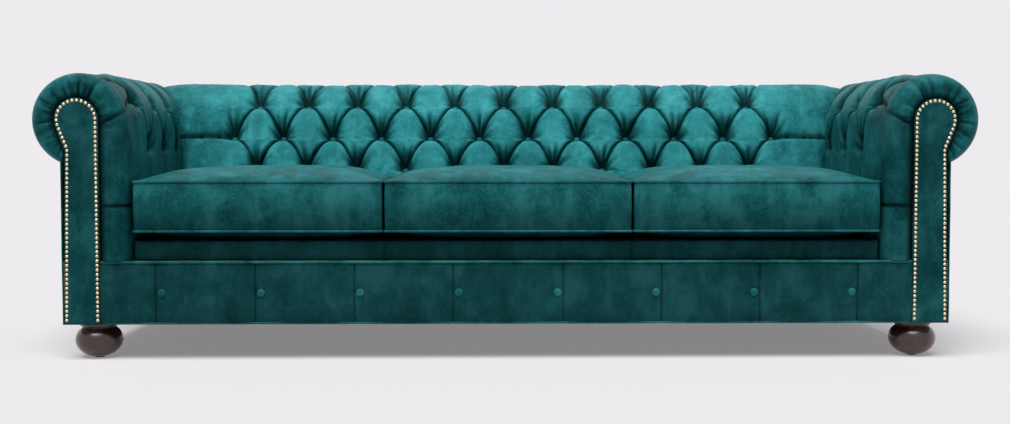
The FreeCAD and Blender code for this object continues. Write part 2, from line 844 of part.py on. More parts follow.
def foot_profile():
    """A turned bun foot: a round bun from its base to the neck under the frame."""
    middle = (foot_neck_height + glide_height) / 2
    points = [(foot_base_radius, glide_height), (foot_radius, middle), (foot_neck_radius, foot_neck_height)]
    bun = [Vector(r, 0, z) for r, z in arc_chords(*points, bun_chords)]
    low, high = bun[0], bun[-1]
    top = Vector(foot_neck_radius, 0, leg_height)
    bore = bolt_radius + bolt_clearance
    bore_base = leg_height - bolt_foot_depth
    edges = [
        *[line(p, q) for p, q in zip(bun, bun[1:])],
        line(high, top),
        line(top, Vector(bore, 0, leg_height)),
        line(Vector(bore, 0, leg_height), Vector(bore, 0, bore_base)),
        line(Vector(bore, 0, bore_base), Vector(0, 0, bore_base)),
        line(Vector(0, 0, bore_base), Vector(0, 0, glide_height)),
        line(Vector(0, 0, glide_height), low),
    ]
    return Part.Face(Part.Wire(edges))


def make_feet():
    """Bun feet with their glides, plates and bolts."""
    bun = foot_profile().revolve(Vector(0, 0, 0), Vector(0, 0, 1), 360)
    feet, plates, bolts, glides = {"front": [], "back": []}, [], [], []
    for side in (-1, 1):
        for name, w in (("front", foot_inset), ("back", foot_rear)):
            place = Vector(side * foot_x, front + w, 0)
            foot = bun.copy()
            foot.translate(place)
            feet[name].append(foot)
            half = plate_size / 2
            plate = box(place.x - half, place.x + half, w - half, w + half, leg_height, frame_base)
            hole = Part.makeCylinder(bolt_radius + bolt_clearance, frame_base, place)
            plates.append(plate.cut(hole))
            base = leg_height - bolt_foot_depth
            length = frame_base - base
            bolts.append(Part.makeCylinder(bolt_radius, length, place + Vector(0, 0, base)))
            glides.append(Part.makeCylinder(glide_radius, glide_height, place))
    save("front_feet", *feet["front"])
    save("back_feet", *feet["back"])
    save("foot_plates", *plates)
    save("foot_bolts", *bolts)
    save("foot_glides", *glides)


def make_dust_cover():
    half = seat_half + arm_frame - board
    low = frame_base - dust_cover_thickness
    rear = frame_rear - cushion_gap
    sheet = box(-half, half, apron_back, rear, low, frame_base)
    cut = plate_size / 2 + cushion_gap
    for side in (-1, 1):
        for w in (foot_inset, foot_rear):
            x = side * foot_x
            sheet = sheet.cut(box(x - cut, x + cut, w - cut, w + cut, leg_height, frame_base))
    save("dust_cover", sheet)


os.makedirs("parts", exist_ok=True)
back_cover = make_back()
for arm_side, arm_name in ((-1, "left"), (1, "right")):
    make_arm(arm_side, arm_name)
    make_arm_frame(arm_side, arm_name)
make_outside_covers()
make_seat_frame()
make_suspension(make_back_frame())
make_apron()
make_cushions(back_cover)
make_feet()
make_dust_cover()
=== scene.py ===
import json
import math

import bmesh
import bpy
import numpy as np
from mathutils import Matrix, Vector, noise


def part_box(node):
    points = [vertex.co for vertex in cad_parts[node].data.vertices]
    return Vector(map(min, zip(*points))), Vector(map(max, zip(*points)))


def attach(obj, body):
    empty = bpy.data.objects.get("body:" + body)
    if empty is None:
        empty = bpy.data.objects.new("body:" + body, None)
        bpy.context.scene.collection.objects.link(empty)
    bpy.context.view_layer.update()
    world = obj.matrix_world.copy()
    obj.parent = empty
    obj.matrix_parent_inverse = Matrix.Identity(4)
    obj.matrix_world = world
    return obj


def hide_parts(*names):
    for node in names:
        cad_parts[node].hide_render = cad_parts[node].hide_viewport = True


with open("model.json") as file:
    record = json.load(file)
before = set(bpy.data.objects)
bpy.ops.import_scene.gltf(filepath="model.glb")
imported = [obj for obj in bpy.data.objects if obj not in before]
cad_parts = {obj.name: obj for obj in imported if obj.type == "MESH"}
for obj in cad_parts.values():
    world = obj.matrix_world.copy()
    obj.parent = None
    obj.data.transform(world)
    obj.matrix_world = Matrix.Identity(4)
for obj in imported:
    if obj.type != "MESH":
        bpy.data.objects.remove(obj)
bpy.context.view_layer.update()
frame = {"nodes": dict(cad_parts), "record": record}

# Sizes shared with the CAD part, in metres
SEAT_HALF = 0.965
SEAT_DEPTH = 0.600
FRONT = -0.460
ROLL_HEIGHT = 0.617
FOLD_R = 0.098
ARM_ROLL = (0.135, 0.0)
BACK_ROLL = (0.200, 15.0)
MITRE = 0.320 / 0.255
ARM_FRAME = 0.173
ARM_OUTSIDE = 0.177
BACK_FRAME = ARM_FRAME * MITRE
APRON_TOP = 0.254
DECK_TOP = 0.305
LEG = 0.092
BUTTON_PITCH = 0.1497
BACK_ROWS = [0.008, 0.107, 0.206, 0.305]
ARM_ROWS = [0.009, 0.120, 0.231]
ARM_FIRST = 0.160
ARM_PITCH = 0.165
FACING_R = 0.056
ROLL_OUTER = 0.120

# Sizes of the leather's relief and of small details, in metres
FULL_PUFF = 0.034
ROLL_PUFF = 0.022
LIFT_LIMIT = 0.0335
PIT_ACROSS, PIT_ABOVE, PIT_BELOW = 0.020, 0.024, 0.016
CREASE = 0.0125
CREASE_LINE = 0.0034
PILLOW = 0.045
BACK_ARCH, ARM_ARCH = 0.024, 0.025
TUCKED = 0.012
INNER_DEPTH = 0.020
GAP = 0.0005
RIM_DEPTH = 0.045
TUCK_SEAM_Z = 0.397
OUTSIDE_TOP = 0.5025
BACK_OUTSIDE_TOP = 0.4975
APRON_BUTTON_Z = 0.173
APRON_PITCH = 0.254
DECK_HALF = 0.964
SEAM_X = 0.321
BUTTON_R, BUTTON_H = 0.0106, 0.0062
CUSHION_WELT_R = 0.0032
SIDE_INSET, FRONT_INSET = 0.0010, 0.009
FOOT_R = 0.061

# The two ends of the sofa, as seen from the front
SIDES = ((-1, "left"), (1, "right"))

# How full each padded piece is of its padding
COVER_FILL, CUSHION_FILL, DECK_FILL = 0.75, 0.85, 0.5

# Points of the meshes: rows of an inner sheet, and steps between two rows of buttons
INNER_ROWS = 16
FINE = 22


def unit(x):
    """x held between 0 and 1."""
    return np.clip(x, 0, 1)


def cross(a, b):
    """Two grids that hold every pair of a number of a and a number of b."""
    return np.meshgrid(a, b, indexing="ij")


def smooth_noise(xs, ys, scale, seed, octaves=2):
    """Fractal noise between about -1 and 1 at each point of a grid."""
    out = np.empty(xs.size)
    for i, (x, y) in enumerate(zip(xs.ravel(), ys.ravel())):
        point = Vector((x * scale + seed, y * scale - seed, 0.37 * seed))
        out[i] = noise.fractal(point, 0.8, 2.1, octaves)
    return out.reshape(xs.shape)


def fractal(x, y, z, octaves=3):
    """Fractal noise at one point."""
    return noise.fractal(Vector((x, y, z)), 0.8, 2.0, octaves)


def add_object(name, data):
    ob = bpy.data.objects.new(name, data)
    bpy.context.scene.collection.objects.link(ob)
    return ob


def mesh_object(name, verts, faces, smooth=True, painted_light=None, outward=True):
    mesh = bpy.data.meshes.new(name)
    mesh.from_pydata([tuple(v) for v in verts], [], [tuple(f) for f in faces])
    if painted_light is not None:
        att = mesh.attributes.new("painted_light", "FLOAT", "POINT")
        att.data.foreach_set("value", np.asarray(painted_light, np.float32))
    if outward:
        work = bmesh.new()
        work.from_mesh(mesh)
        bmesh.ops.recalc_face_normals(work, faces=work.faces)
        work.to_mesh(mesh)
        work.free()
    mesh.update()
    if smooth:
        mesh.shade_smooth()
    return add_object(name, mesh)


def merged(name, parts):
    """One object from several (verts, faces) lists."""
    verts, faces = [], []
    for v, f in parts:
        start = len(verts)
        verts += [tuple(p) for p in v]
        faces += [tuple(i + start for i in face) for face in f]
    return mesh_object(name, verts, faces)


def ring_faces(rings, sides, closed=False):
    """Faces between rings of points, with a cap at each end unless the row is closed."""
    faces = []
    for i in range(rings if closed else rings - 1):
        j = (i + 1) % rings
        for k in range(sides):
            m = (k + 1) % sides
            faces.append((i * sides + k, i * sides + m, j * sides + m, j * sides + k))
    if not closed:
        faces.append(tuple(range(sides))[::-1])
        faces.append(tuple((rings - 1) * sides + k for k in range(sides)))
    return faces


def spokes(axis, turns):
    """Unit vectors square to an axis, evenly round it."""
    across = axis.orthogonal().normalized()
    other = axis.cross(across)
    angles = [2 * math.pi * k / turns for k in range(turns)]
    return [across * math.cos(t) + other * math.sin(t) for t in angles]


def tube(points, radius, closed=False, sides=8):
    """A round cord's mesh along a row of points."""
    pts = [Vector(p) for p in points]
    n = len(pts)
    verts = []
    up = None
    for i, p in enumerate(pts):
        a = pts[(i - 1) % n] if closed or i > 0 else p
        b = pts[(i + 1) % n] if closed or i < n - 1 else p
        tangent = (b - a).normalized()
        if up is None:
            up = Vector((0, 0, 1)) if abs(tangent.z) < 0.9 else Vector((1, 0, 0))
        side = tangent.cross(up).normalized()
        up = side.cross(tangent).normalized()
        for k in range(sides):
            t = 2 * math.pi * k / sides
            verts.append(p + side * (radius * math.cos(t)) + up * (radius * math.sin(t)))
    return verts, ring_faces(n, sides, closed)


def lathe(profile, centre, axis, turns):
    """A turned form: profile is a row of (radius, height), capped at both ends."""
    axis = Vector(axis).normalized()
    centre = Vector(centre)
    ways = spokes(axis, turns)
    verts = [centre + axis * h + way * r for r, h in profile for way in ways]
    return verts, ring_faces(len(profile), turns)


# Materials


def greys(*stops):
    """Stops of a ramp from pairs of place and brightness."""
    return [(place, (bright,) * 3) for place, bright in stops]


def add_node(tree, kind, inputs=None, **props):
    """A new node, with each input linked to an output or set to a value."""
    node = tree.nodes.new(kind)
    for key, value in props.items():
        setattr(node, key, value)
    for key, value in (inputs or {}).items():
        if isinstance(value, bpy.types.NodeSocket):
            tree.links.new(value, node.inputs[key])
        else:
            node.inputs[key].default_value = value
    return node


class Nodes:
    """A short way to write a material's nodes."""

    def __init__(self, name):
        self.material = bpy.data.materials.new(name)
        self.material.use_nodes = True
        self.tree = self.material.node_tree
        self.shader = self.tree.nodes["Principled BSDF"]
        self.coords = self.add("ShaderNodeTexCoord").outputs["Object"]

    def add(self, kind, inputs=None, **props):
        return add_node(self.tree, kind, inputs, **props)

    def stretch(self, scale):
        return self.add("ShaderNodeMapping", {"Vector": self.coords, "Scale": scale}).outputs[0]

    def noise(self, scale, detail=4.0, rough=0.55, vector=None, distortion=0.0):
        inputs = dict(Vector=vector or self.coords, Scale=scale, Detail=detail, Roughness=rough)
        inputs["Distortion"] = distortion
        return self.add("ShaderNodeTexNoise", inputs).outputs["Fac"]

    def cells(self, scale):
        inputs = {"Vector": self.coords, "Scale": scale}
        return self.add("ShaderNodeTexVoronoi", inputs, feature="DISTANCE_TO_EDGE").outputs["Distance"]

    def ramp(self, fac, stops):
        node = self.add("ShaderNodeValToRGB", {"Fac": fac})
        els = node.color_ramp.elements
        while len(els) < len(stops):
            els.new(0.5)
        for el, (pos, colour) in zip(els, stops):
            el.position = pos
            el.color = (*colour, 1)
        return node.outputs["Color"]

    def math(self, op, a, b=0.0, c=0.0):
        return self.add("ShaderNodeMath", {0: a, 1: b, 2: c}, operation=op).outputs[0]

    def mix(self, fac, a, b, blend="MIX"):
        inputs = {0: fac, 6: a, 7: b}
        return self.add("ShaderNodeMix", inputs, data_type="RGBA", blend_type=blend).outputs[2]

    def link(self, output, socket):
        self.tree.links.new(output, self.shader.inputs[socket])

    def set(self, socket, value):
        self.shader.inputs[socket].default_value = value

    def bump(self, height, strength, distance, normal=None):
        inputs = {"Height": height, "Strength": strength, "Distance": distance}
        if normal is not None:
            inputs["Normal"] = normal
        return self.add("ShaderNodeBump", inputs).outputs[0]


# Colours of the leather from the deepest to the lightest, and the tint of its gloss
LEATHER_TONES = [(0.0022, 0.052, 0.056), (0.0075, 0.118, 0.126), (0.034, 0.232, 0.246)]
GLOSS_TINT = (0.20, 0.80, 0.88, 1)


def leather(name, painted_brightness=1.0, painted_light=False, wear=1.0, gloss=0.16):
    """Waxed leather, its colours scaled to paint light or shade into the whole piece; with the painted light
    kept on the mesh, its tone follows how full the cover is at each point, with painted shade in pits and
    creases and a painted highlight on the crowns.
    """
    n = Nodes(name)
    # the colours are scaled to paint light or shade into the whole piece
    dark, mid, light = [tuple(c * painted_brightness for c in tone) for tone in LEATHER_TONES]
    broad = n.noise(3.2, 3.0, 0.6)
    cloud = n.noise(11.0, 6.0, 0.68, distortion=0.4)
    streak = n.noise(9.0, 5.0, 0.7, vector=n.stretch((2.4, 2.4, 0.7)))
    mott = n.math("MULTIPLY_ADD", cloud, 0.5, n.math("MULTIPLY", streak, 0.35))
    mott = n.math("MULTIPLY_ADD", broad, 0.25, mott)
    colour = n.ramp(mott, [(0.445, dark), (0.54, mid), (0.64, light)])
    speck = n.noise(160.0, 4.0, 0.7)
    colour = n.mix(n.ramp(speck, greys((0.35, 0.0), (0.75, 0.35 * wear))), colour, (*light, 1))
    scuff = n.noise(6.0, 7.0, 0.72, distortion=1.8)
    marks = n.ramp(scuff, greys((0.485, 0.0), (0.50, 0.42 * wear), (0.515, 0.0)))
    colour = n.mix(marks, colour, (*light, 1))
    if painted_light:
        # painted light kept on the mesh: its tone paints shade into pits, creases and hollows
        height = n.add("ShaderNodeAttribute", attribute_name="painted_light").outputs["Fac"]
        tone = n.ramp(height, greys((0.0, 0.04), (0.30, 0.30), (0.62, 0.80), (1.0, 1.22)))
        colour = n.mix(1.0, colour, tone, "MULTIPLY")
        # painted highlight: the fullest crowns are mixed towards the lightest colour
        painted_highlight = n.ramp(height, greys((0.72, 0.0), (1.0, 0.30)))
        colour = n.mix(painted_highlight, colour, (*light, 1))
    n.link(colour, "Base Color")
    n.link(n.math("MULTIPLY_ADD", cloud, 0.28, 0.30), "Roughness")
    n.set("Specular IOR Level", gloss)
    n.set("Specular Tint", GLOSS_TINT)
    pebbles = n.math("POWER", n.cells(620.0), 0.5)
    veins = n.math("MINIMUM", n.math("MULTIPLY", n.cells(95.0), 6.0), 1.0)
    creases = n.noise(38.0, 5.0, 0.6, distortion=1.2)
    normal = n.bump(creases, 0.22, 0.004)
    normal = n.bump(veins, 0.12, 0.0007, normal)
    normal = n.bump(pebbles, 0.30, 0.0004, normal)
    n.link(normal, "Normal")
    return n.material


def wood(name, dark, light, gloss, axis=(1.0, 1.0, 0.12), coat=0.0):
    n = Nodes(name)
    grain = n.noise(26.0, 6.0, 0.6, vector=n.stretch(axis), distortion=1.5)
    fine = n.noise(160.0, 4.0, 0.6, vector=n.stretch(axis))
    both = n.math("MULTIPLY_ADD", grain, 0.7, n.math("MULTIPLY", fine, 0.3))
    n.link(n.ramp(both, [(0.38, dark), (0.62, light)]), "Base Color")
    n.link(n.math("MULTIPLY_ADD", fine, 0.15, gloss), "Roughness")
    n.set("Coat Weight", coat)
    n.set("Coat Roughness", 0.18)
    n.link(n.bump(both, 0.15, 0.0006), "Normal")
    return n.material


def woven(name, dark, light, scale, rough=0.85):
    n = Nodes(name)
    inputs = {"Vector": n.coords, "Scale": scale}
    threads = [n.add("ShaderNodeTexWave", inputs, bands_direction=way).outputs["Fac"] for way in "XYZ"]
    weave = n.math("MULTIPLY", n.math("MAXIMUM", threads[0], threads[1]), threads[2])
    mott = n.math("MULTIPLY_ADD", n.noise(60.0), 0.6, n.math("MULTIPLY", weave, 0.4))
    n.link(n.ramp(mott, [(0.25, dark), (0.75, light)]), "Base Color")
    n.set("Roughness", rough)
    n.link(n.bump(weave, 0.4, 0.0006), "Normal")
    return n.material


def metal(name, colour, rough, dirt):
    n = Nodes(name)
    spots = n.noise(420.0, 4.0, 0.6)
    n.link(n.ramp(spots, [(0.30, dirt), (0.55, colour)]), "Base Color")
    n.link(n.math("MULTIPLY_ADD", spots, 0.2, rough), "Roughness")
    n.set("Metallic", 1.0)
    n.link(n.bump(spots, 0.2, 0.0003), "Normal")
    return n.material


# Lit and shaded copies of the one leather: the second number paints light or shade into each piece, brighter
# on the back, darker on the arms and darker still on the facings, welts and buttons
LEATHER_TUFT = leather("leather_arms", 0.92, painted_light=True, gloss=0.07)
LEATHER_BACK = leather("leather_back", 1.50, painted_light=True)
LEATHER_SHADED = leather("leather_panel", 0.40, wear=0.5)
LEATHER_WELT = leather("leather_welt", 0.70, wear=0.6)
LEATHER_BUTTON = leather("leather_button", 0.75, wear=0.8)
FOOT_WOOD = wood("foot_wood", (0.010, 0.003, 0.002), (0.050, 0.013, 0.008), 0.22, coat=0.5)
FRAME_WOOD = wood("frame_wood", (0.30, 0.19, 0.10), (0.50, 0.36, 0.22), 0.62, axis=(0.1, 1.0, 1.0))
WEBBING = woven("webbing", (0.12, 0.085, 0.05), (0.34, 0.26, 0.16), 260.0)
LINING = woven("lining", (0.006, 0.006, 0.006), (0.018, 0.018, 0.018), 420.0, 0.95)
BRASS = metal("nail_brass", (0.80, 0.66, 0.44), 0.26, (0.30, 0.19, 0.08))
STEEL = metal("steel", (0.55, 0.55, 0.56), 0.35, (0.35, 0.34, 0.33))
GLIDE = woven("glide", (0.010, 0.010, 0.010), (0.022, 0.022, 0.022), 300.0, 0.6)


def finish_piece(ob, material, nodes=(), body="sofa", fill=None):
    ob.data.materials.clear()
    ob.data.materials.append(material)
    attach(ob, body)
    if nodes:
        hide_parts(*nodes)
    return ob


# Tufted covers of the back and the arms


def profile(roll, s, lift):
    """Points (u, z) of a roll's surface, s down from the crest towards the seat, lifted outward."""
    inset, lean = roll
    turn = math.radians(90 - lean)
    angle = np.minimum(s / FOLD_R, turn)
    down = np.maximum(s - FOLD_R * turn, 0.0)
    radius = FOLD_R + lift
    u = inset - radius * np.sin(angle) - down * math.cos(turn)
    z = ROLL_HEIGHT + radius * np.cos(angle) - down * math.sin(turn)
    return u, z


def profile_length(roll, z, lift):
    """The distance from the crest down to a height."""
    turn = math.radians(90 - roll[1])
    drop = ROLL_HEIGHT + (FOLD_R + lift) * math.cos(turn) - z
    return FOLD_R * turn + drop / math.sin(turn)


def tack_length(roll, frame_u):
    """The distance from the crest to the line where the cover is tacked behind the roll."""
    return -FOLD_R * (math.pi - math.asin((frame_u - roll[0]) / ROLL_OUTER))


def fold_field(xs, ss, folds, buttons):
    """How full the leather is, from 0 in a pit to 1 on a crown, and how much light a crease keeps: painted
    shade along each crease and in a fan round each button.
    """
    full, line = np.ones_like(xs), np.ones_like(xs)
    for x0, s0, x1, s1, d0, d1, sag in folds:
        dx, ds = x1 - x0, s1 - s0
        near = (xs > min(x0, x1) - PILLOW) & (xs < max(x0, x1) + PILLOW)
        near &= (ss > min(s0, s1) - PILLOW) & (ss < max(s0, s1) + PILLOW)
        px, ps = xs[near] - x0, ss[near] - s0
        t = unit((px * dx + ps * ds) / (dx * dx + ds * ds))
        away = np.hypot(px - t * dx, ps - t * ds)
        w = unit(away / CREASE)
        ramp = np.sqrt(1 - (1 - w) ** 2)
        depth = d0 + (d1 - d0) * t - sag * 4 * t * (1 - t)
        broad = (1 - unit(away / PILLOW)) ** 2
        full[near] *= (1 - depth * (1 - ramp)) * (1 - 0.12 * depth * broad)
        # painted shade: a thin dark line along each crease
        line[near] *= 1 - 0.80 * np.exp(-((away / CREASE_LINE) ** 2)) * unit(depth * 1.9)
    for bx, bs in buttons:
        near = (np.abs(xs - bx) < 0.09) & (np.abs(ss - bs) < 0.11)
        dx, ds = xs[near] - bx, ss[near] - bs
        tall = np.where(ds < 0, PIT_ABOVE, PIT_BELOW)
        full[near] *= 1 - 0.84 * np.exp(-((dx / PIT_ACROSS) ** 2) - (ds / tall) ** 2)
        # painted shade: a spiky dark fan round each button's pit
        angle = np.arctan2(dx, -ds)
        spikes = 0.5 + 0.3 * np.sin(13 * angle + 40 * bx) + 0.2 * np.sin(23 * angle + 90 * bx)
        spread = 0.021 + 0.009 * np.cos(angle) + 0.015 * spikes
        line[near] *= 1 - 0.82 * np.exp(-((np.hypot(dx, ds) / spread) ** 2)) * (0.45 + 0.55 * spikes)
    return full, line


def arch(s, rows, amount):
    """Draws each fold between two rows of buttons up into an arch."""
    first, step = rows[0], rows[1] - rows[0]
    frac = (s - first) / step
    inside = (frac > 0) & (frac < len(rows) + 0.999)
    return s - np.where(inside, amount * np.sin(math.pi * (frac - np.floor(frac))), 0.0)


def grid_faces(rows, cols, diagonal):
    faces = []
    for i in range(cols - 1):
        for j in range(rows - 1):
            a, b = i * rows + j, (i + 1) * rows + j
            c, d = b + 1, a + 1
            if diagonal(i, j):
                faces += [(a, b, c), (a, c, d)]
            else:
                faces += [(a, b, d), (b, c, d)]
    return faces


def close_grid(rows, cols):
    """Faces that close a curved sheet with an inner sheet of the same columns."""
    start = cols * rows
    faces = []
    for i in range(cols - 1):
        for j in range(INNER_ROWS - 1):
            a = start + i * INNER_ROWS + j
            b = start + (i + 1) * INNER_ROWS + j
            faces.append((a, a + 1, b + 1, b))
        a, b = i * rows, (i + 1) * rows
        c, d = start + i * INNER_ROWS, start + (i + 1) * INNER_ROWS
        faces.append((a, c, d, b))
        a, b = a + rows - 1, b + rows - 1
        c, d = c + INNER_ROWS - 1, d + INNER_ROWS - 1
        faces.append((a, b, d, c))
    for i in (0, cols - 1):
        outer = [i * rows + j for j in range(rows)]
        core = [start + i * INNER_ROWS + j for j in range(INNER_ROWS)]
        faces.append(tuple(outer + core[::-1]))
    return faces


def cover_rows(roll, rows, frame_u, hem_z):
    """Distances down the cover, with rows of points through every row of buttons."""
    step = (rows[1] - rows[0]) / FINE
    tack = tack_length(roll, frame_u)
    hem = profile_length(roll, hem_z, 0.026)
    above = int((rows[0] - tack) / step)
    below = int((hem - rows[0]) / step)
    s = [rows[0] + k * step for k in range(-above, below + 1)]
    s = [tack] + s[1:] + [hem]
    return np.array(s), above


def wrinkle_fan(xs, ss, buttons, seed):
    """Small gathers that fan out above each button."""
    total = np.zeros_like(xs)
    for k, (bx, bs) in enumerate(buttons):
        near = (np.abs(xs - bx) < 0.07) & (ss > bs - 0.075) & (ss < bs + 0.05)
        dx, ds = xs[near] - bx, ss[near] - bs
        r = np.hypot(dx, ds)
        angle = np.arctan2(dx, -ds)
        waves = np.sin(angle * 8 + k * 1.7 + seed) + 0.7 * np.sin(angle * 13 + k * 2.9)
        up = np.clip(1.25 - np.abs(angle) / 1.7, 0.12, 1)
        reach = 0.020 + 0.012 * np.cos(angle)
        total[near] += waves * up * 0.0025 * np.exp(-((r - reach) ** 2) / 0.0005)
    return total


def back_cover():
    steps = 11
    half = BUTTON_PITCH / 2
    last = steps * half
    tail = np.array([0.0, 0.002, 0.005, 0.009, 0.014, 0.02])
    lead = SEAT_HALF - last
    more = np.linspace(0.02, lead, 2 * FINE + 4)[1:]
    spread = 0.01 + (more - 0.02) * (lead - 0.01) / (lead - 0.02)
    at_left = -SEAT_HALF + np.concatenate([tail * 0.5, spread])
    t = (at_left + SEAT_HALF) / lead
    skew_left = -(1 - t) / MITRE
    centre = np.linspace(-last, last, 2 * steps * FINE + 1)[1:-1]
    at = np.concatenate([at_left, centre, -at_left[::-1]])
    skew = np.concatenate([skew_left, centre * 0, -skew_left[::-1]])
    offset = len(at_left) - 1
    hem_z = DECK_TOP + GAP
    s_rows, above = cover_rows(BACK_ROLL, BACK_ROWS, BACK_FRAME, hem_z)
    cols, rows = len(at), len(s_rows)
    a2, s2 = cross(at, s_rows)
    k2 = cross(skew, s_rows)[0]
    u0 = profile(BACK_ROLL, s2, 0 * s2)[0]
    x2 = a2 + k2 * u0
    tack = s_rows[0]
    folds, buttons = [], []
    for i in range(-steps, steps + 1):
        x = i * half
        parity = (i + steps) % 2
        for r in range(parity, 4, 2):
            buttons.append((x, BACK_ROWS[r]))
            for side in (-1, 1):
                if r < 3 and abs(i + side) <= steps:
                    below = (x + side * half, BACK_ROWS[r + 1])
                    folds.append((x, BACK_ROWS[r], *below, 0.85, 0.85, 0.42))
        if parity == 0:
            folds.append((x, BACK_ROWS[0], x, tack, 0.85, 0.15, 0.0))
        else:
            folds.append((x, BACK_ROWS[3], x, BACK_ROWS[3] + 0.2, 0.85, 0.2, 0.0))
    for side in (-1, 1):
        # the last crease arches from the end button to the corner, under one round bulge
        route = [(last, BACK_ROWS[2]), (0.872, 0.205), (0.930, 0.2045), (0.985, 0.207), (1.030, 0.214)]
        for (xa, sa), (xb, sb) in zip(route, route[1:]):
            folds.append((side * xa, sa, side * xb, sb, 0.6, 0.55, 0.0))
        folds.append((side * 1.030, 0.214, side * 1.07, 0.24, 0.6, 0.9, 0.0))
    full, line = fold_field(x2, s2, folds, buttons)
    low = unit(s2 / 0.06)
    base = ROLL_PUFF + (FULL_PUFF - ROLL_PUFF) * low * low * (3 - 2 * low)
    base = base - 0.008 * unit((s2 - 0.40) / 0.08)
    base = base + 0.0025 * smooth_noise(x2, s2, 9.0, 3.1)
    lift = base * full
    fan = wrinkle_fan(x2, s2, buttons, 0.4)
    lift += fan
    lift += 0.0011 * smooth_noise(x2, s2, 34.0, 7.7, 3) * full
    edge = unit((s2 - tack) / 0.05)
    lift = ROLL_PUFF + (lift - ROLL_PUFF) * edge
    # the leather turns in at the mitred corners
    near_end = unit((SEAT_HALF - np.abs(a2)) / (0.068 - 0.12 * np.clip(s2, 0, 0.3)))
    drop = np.sqrt(unit(1 - (1 - near_end) ** 2))
    lift = -TUCKED + (lift + TUCKED) * drop
    s_final = arch(s2, BACK_ROWS, BACK_ARCH)
    s_final = s_final + 0.0035 * smooth_noise(x2, s2, 7.0, 5.5) * (edge > 0.99)
    s_final[:, -1] = s2[:, -1]
    u, z = profile(BACK_ROLL, s_final, lift)
    x = a2 + k2 * u + 0.003 * smooth_noise(x2, s2, 7.0, 11.5) * near_end
    outer = np.stack([x, FRONT + SEAT_DEPTH + u, np.maximum(z, hem_z)], -1).reshape(-1, 3)
    s_in = np.linspace(tack * 0.985, s_rows[-1], INNER_ROWS)
    ai, si = cross(at, s_in)
    ki = cross(skew, s_in)[0]
    ui, zi = profile(BACK_ROLL, si, si * 0 - INNER_DEPTH)
    inner = np.stack([ai + ki * ui, FRONT + SEAT_DEPTH + ui, np.maximum(zi, hem_z)], -1).reshape(-1, 3)

    def diagonal(i, j):
        return ((i - offset) // FINE + (j - above) // FINE) % 2 == 0

    verts = np.concatenate([outer, inner])
    faces = grid_faces(rows, cols, diagonal) + close_grid(rows, cols)
    # painted light: lighter on full crowns and wrinkles, painted shade along the creases, where the leather
    # turns in at the corners and towards the ends
    light = unit(lift / FULL_PUFF * (1 + 150 * fan)) * line * (0.55 + 0.45 * drop)
    light = light * (1 - 0.24 * unit((np.abs(x2) - 0.80) / 0.12))
    painted_light = np.concatenate([light.ravel(), np.zeros(len(inner))])
    ob = mesh_object("back_cover", verts, faces, painted_light=painted_light)
    finish_piece(ob, LEATHER_BACK, ("back_tufted_cover", "back_foam"), fill=COVER_FILL)
    return buttons


def arm_buttons():
    """(depth, distance down) of an arm's buttons; the last one sits beside the corner."""
    found = []
    for i in range(6):
        w = ARM_FIRST + i * ARM_PITCH / 2
        for r in range((i + 1) % 2, 3, 2):
            found.append((w, ARM_ROWS[r]))
    u = profile(ARM_ROLL, np.array([ARM_ROWS[1]]), np.array([0.0]))[0][0]
    found.append((SEAT_DEPTH + u * MITRE - 0.017, ARM_ROWS[1]))
    return found


def facing_edge(s):
    """The edge of the facing's recess that lies nearest to the point s of the arm's section."""
    inset = ARM_ROLL[0]
    angle = np.minimum(s / FOLD_R, math.pi / 2)
    radius = FACING_R + 0.001
    bend = -2.05
    on = np.maximum(angle, bend)
    u = inset - radius * np.sin(on)
    z = ROLL_HEIGHT + radius * np.cos(on)
    past = unit((bend - angle) / 0.75)
    u = u + (0.1645 - u) * past
    z = z + (0.531 - z) * past
    deeper = unit((bend - 0.75 - angle) / 0.2)
    z = z - 0.03 * deeper
    z = z - np.maximum(s - FOLD_R * math.pi / 2, 0)
    return u, z


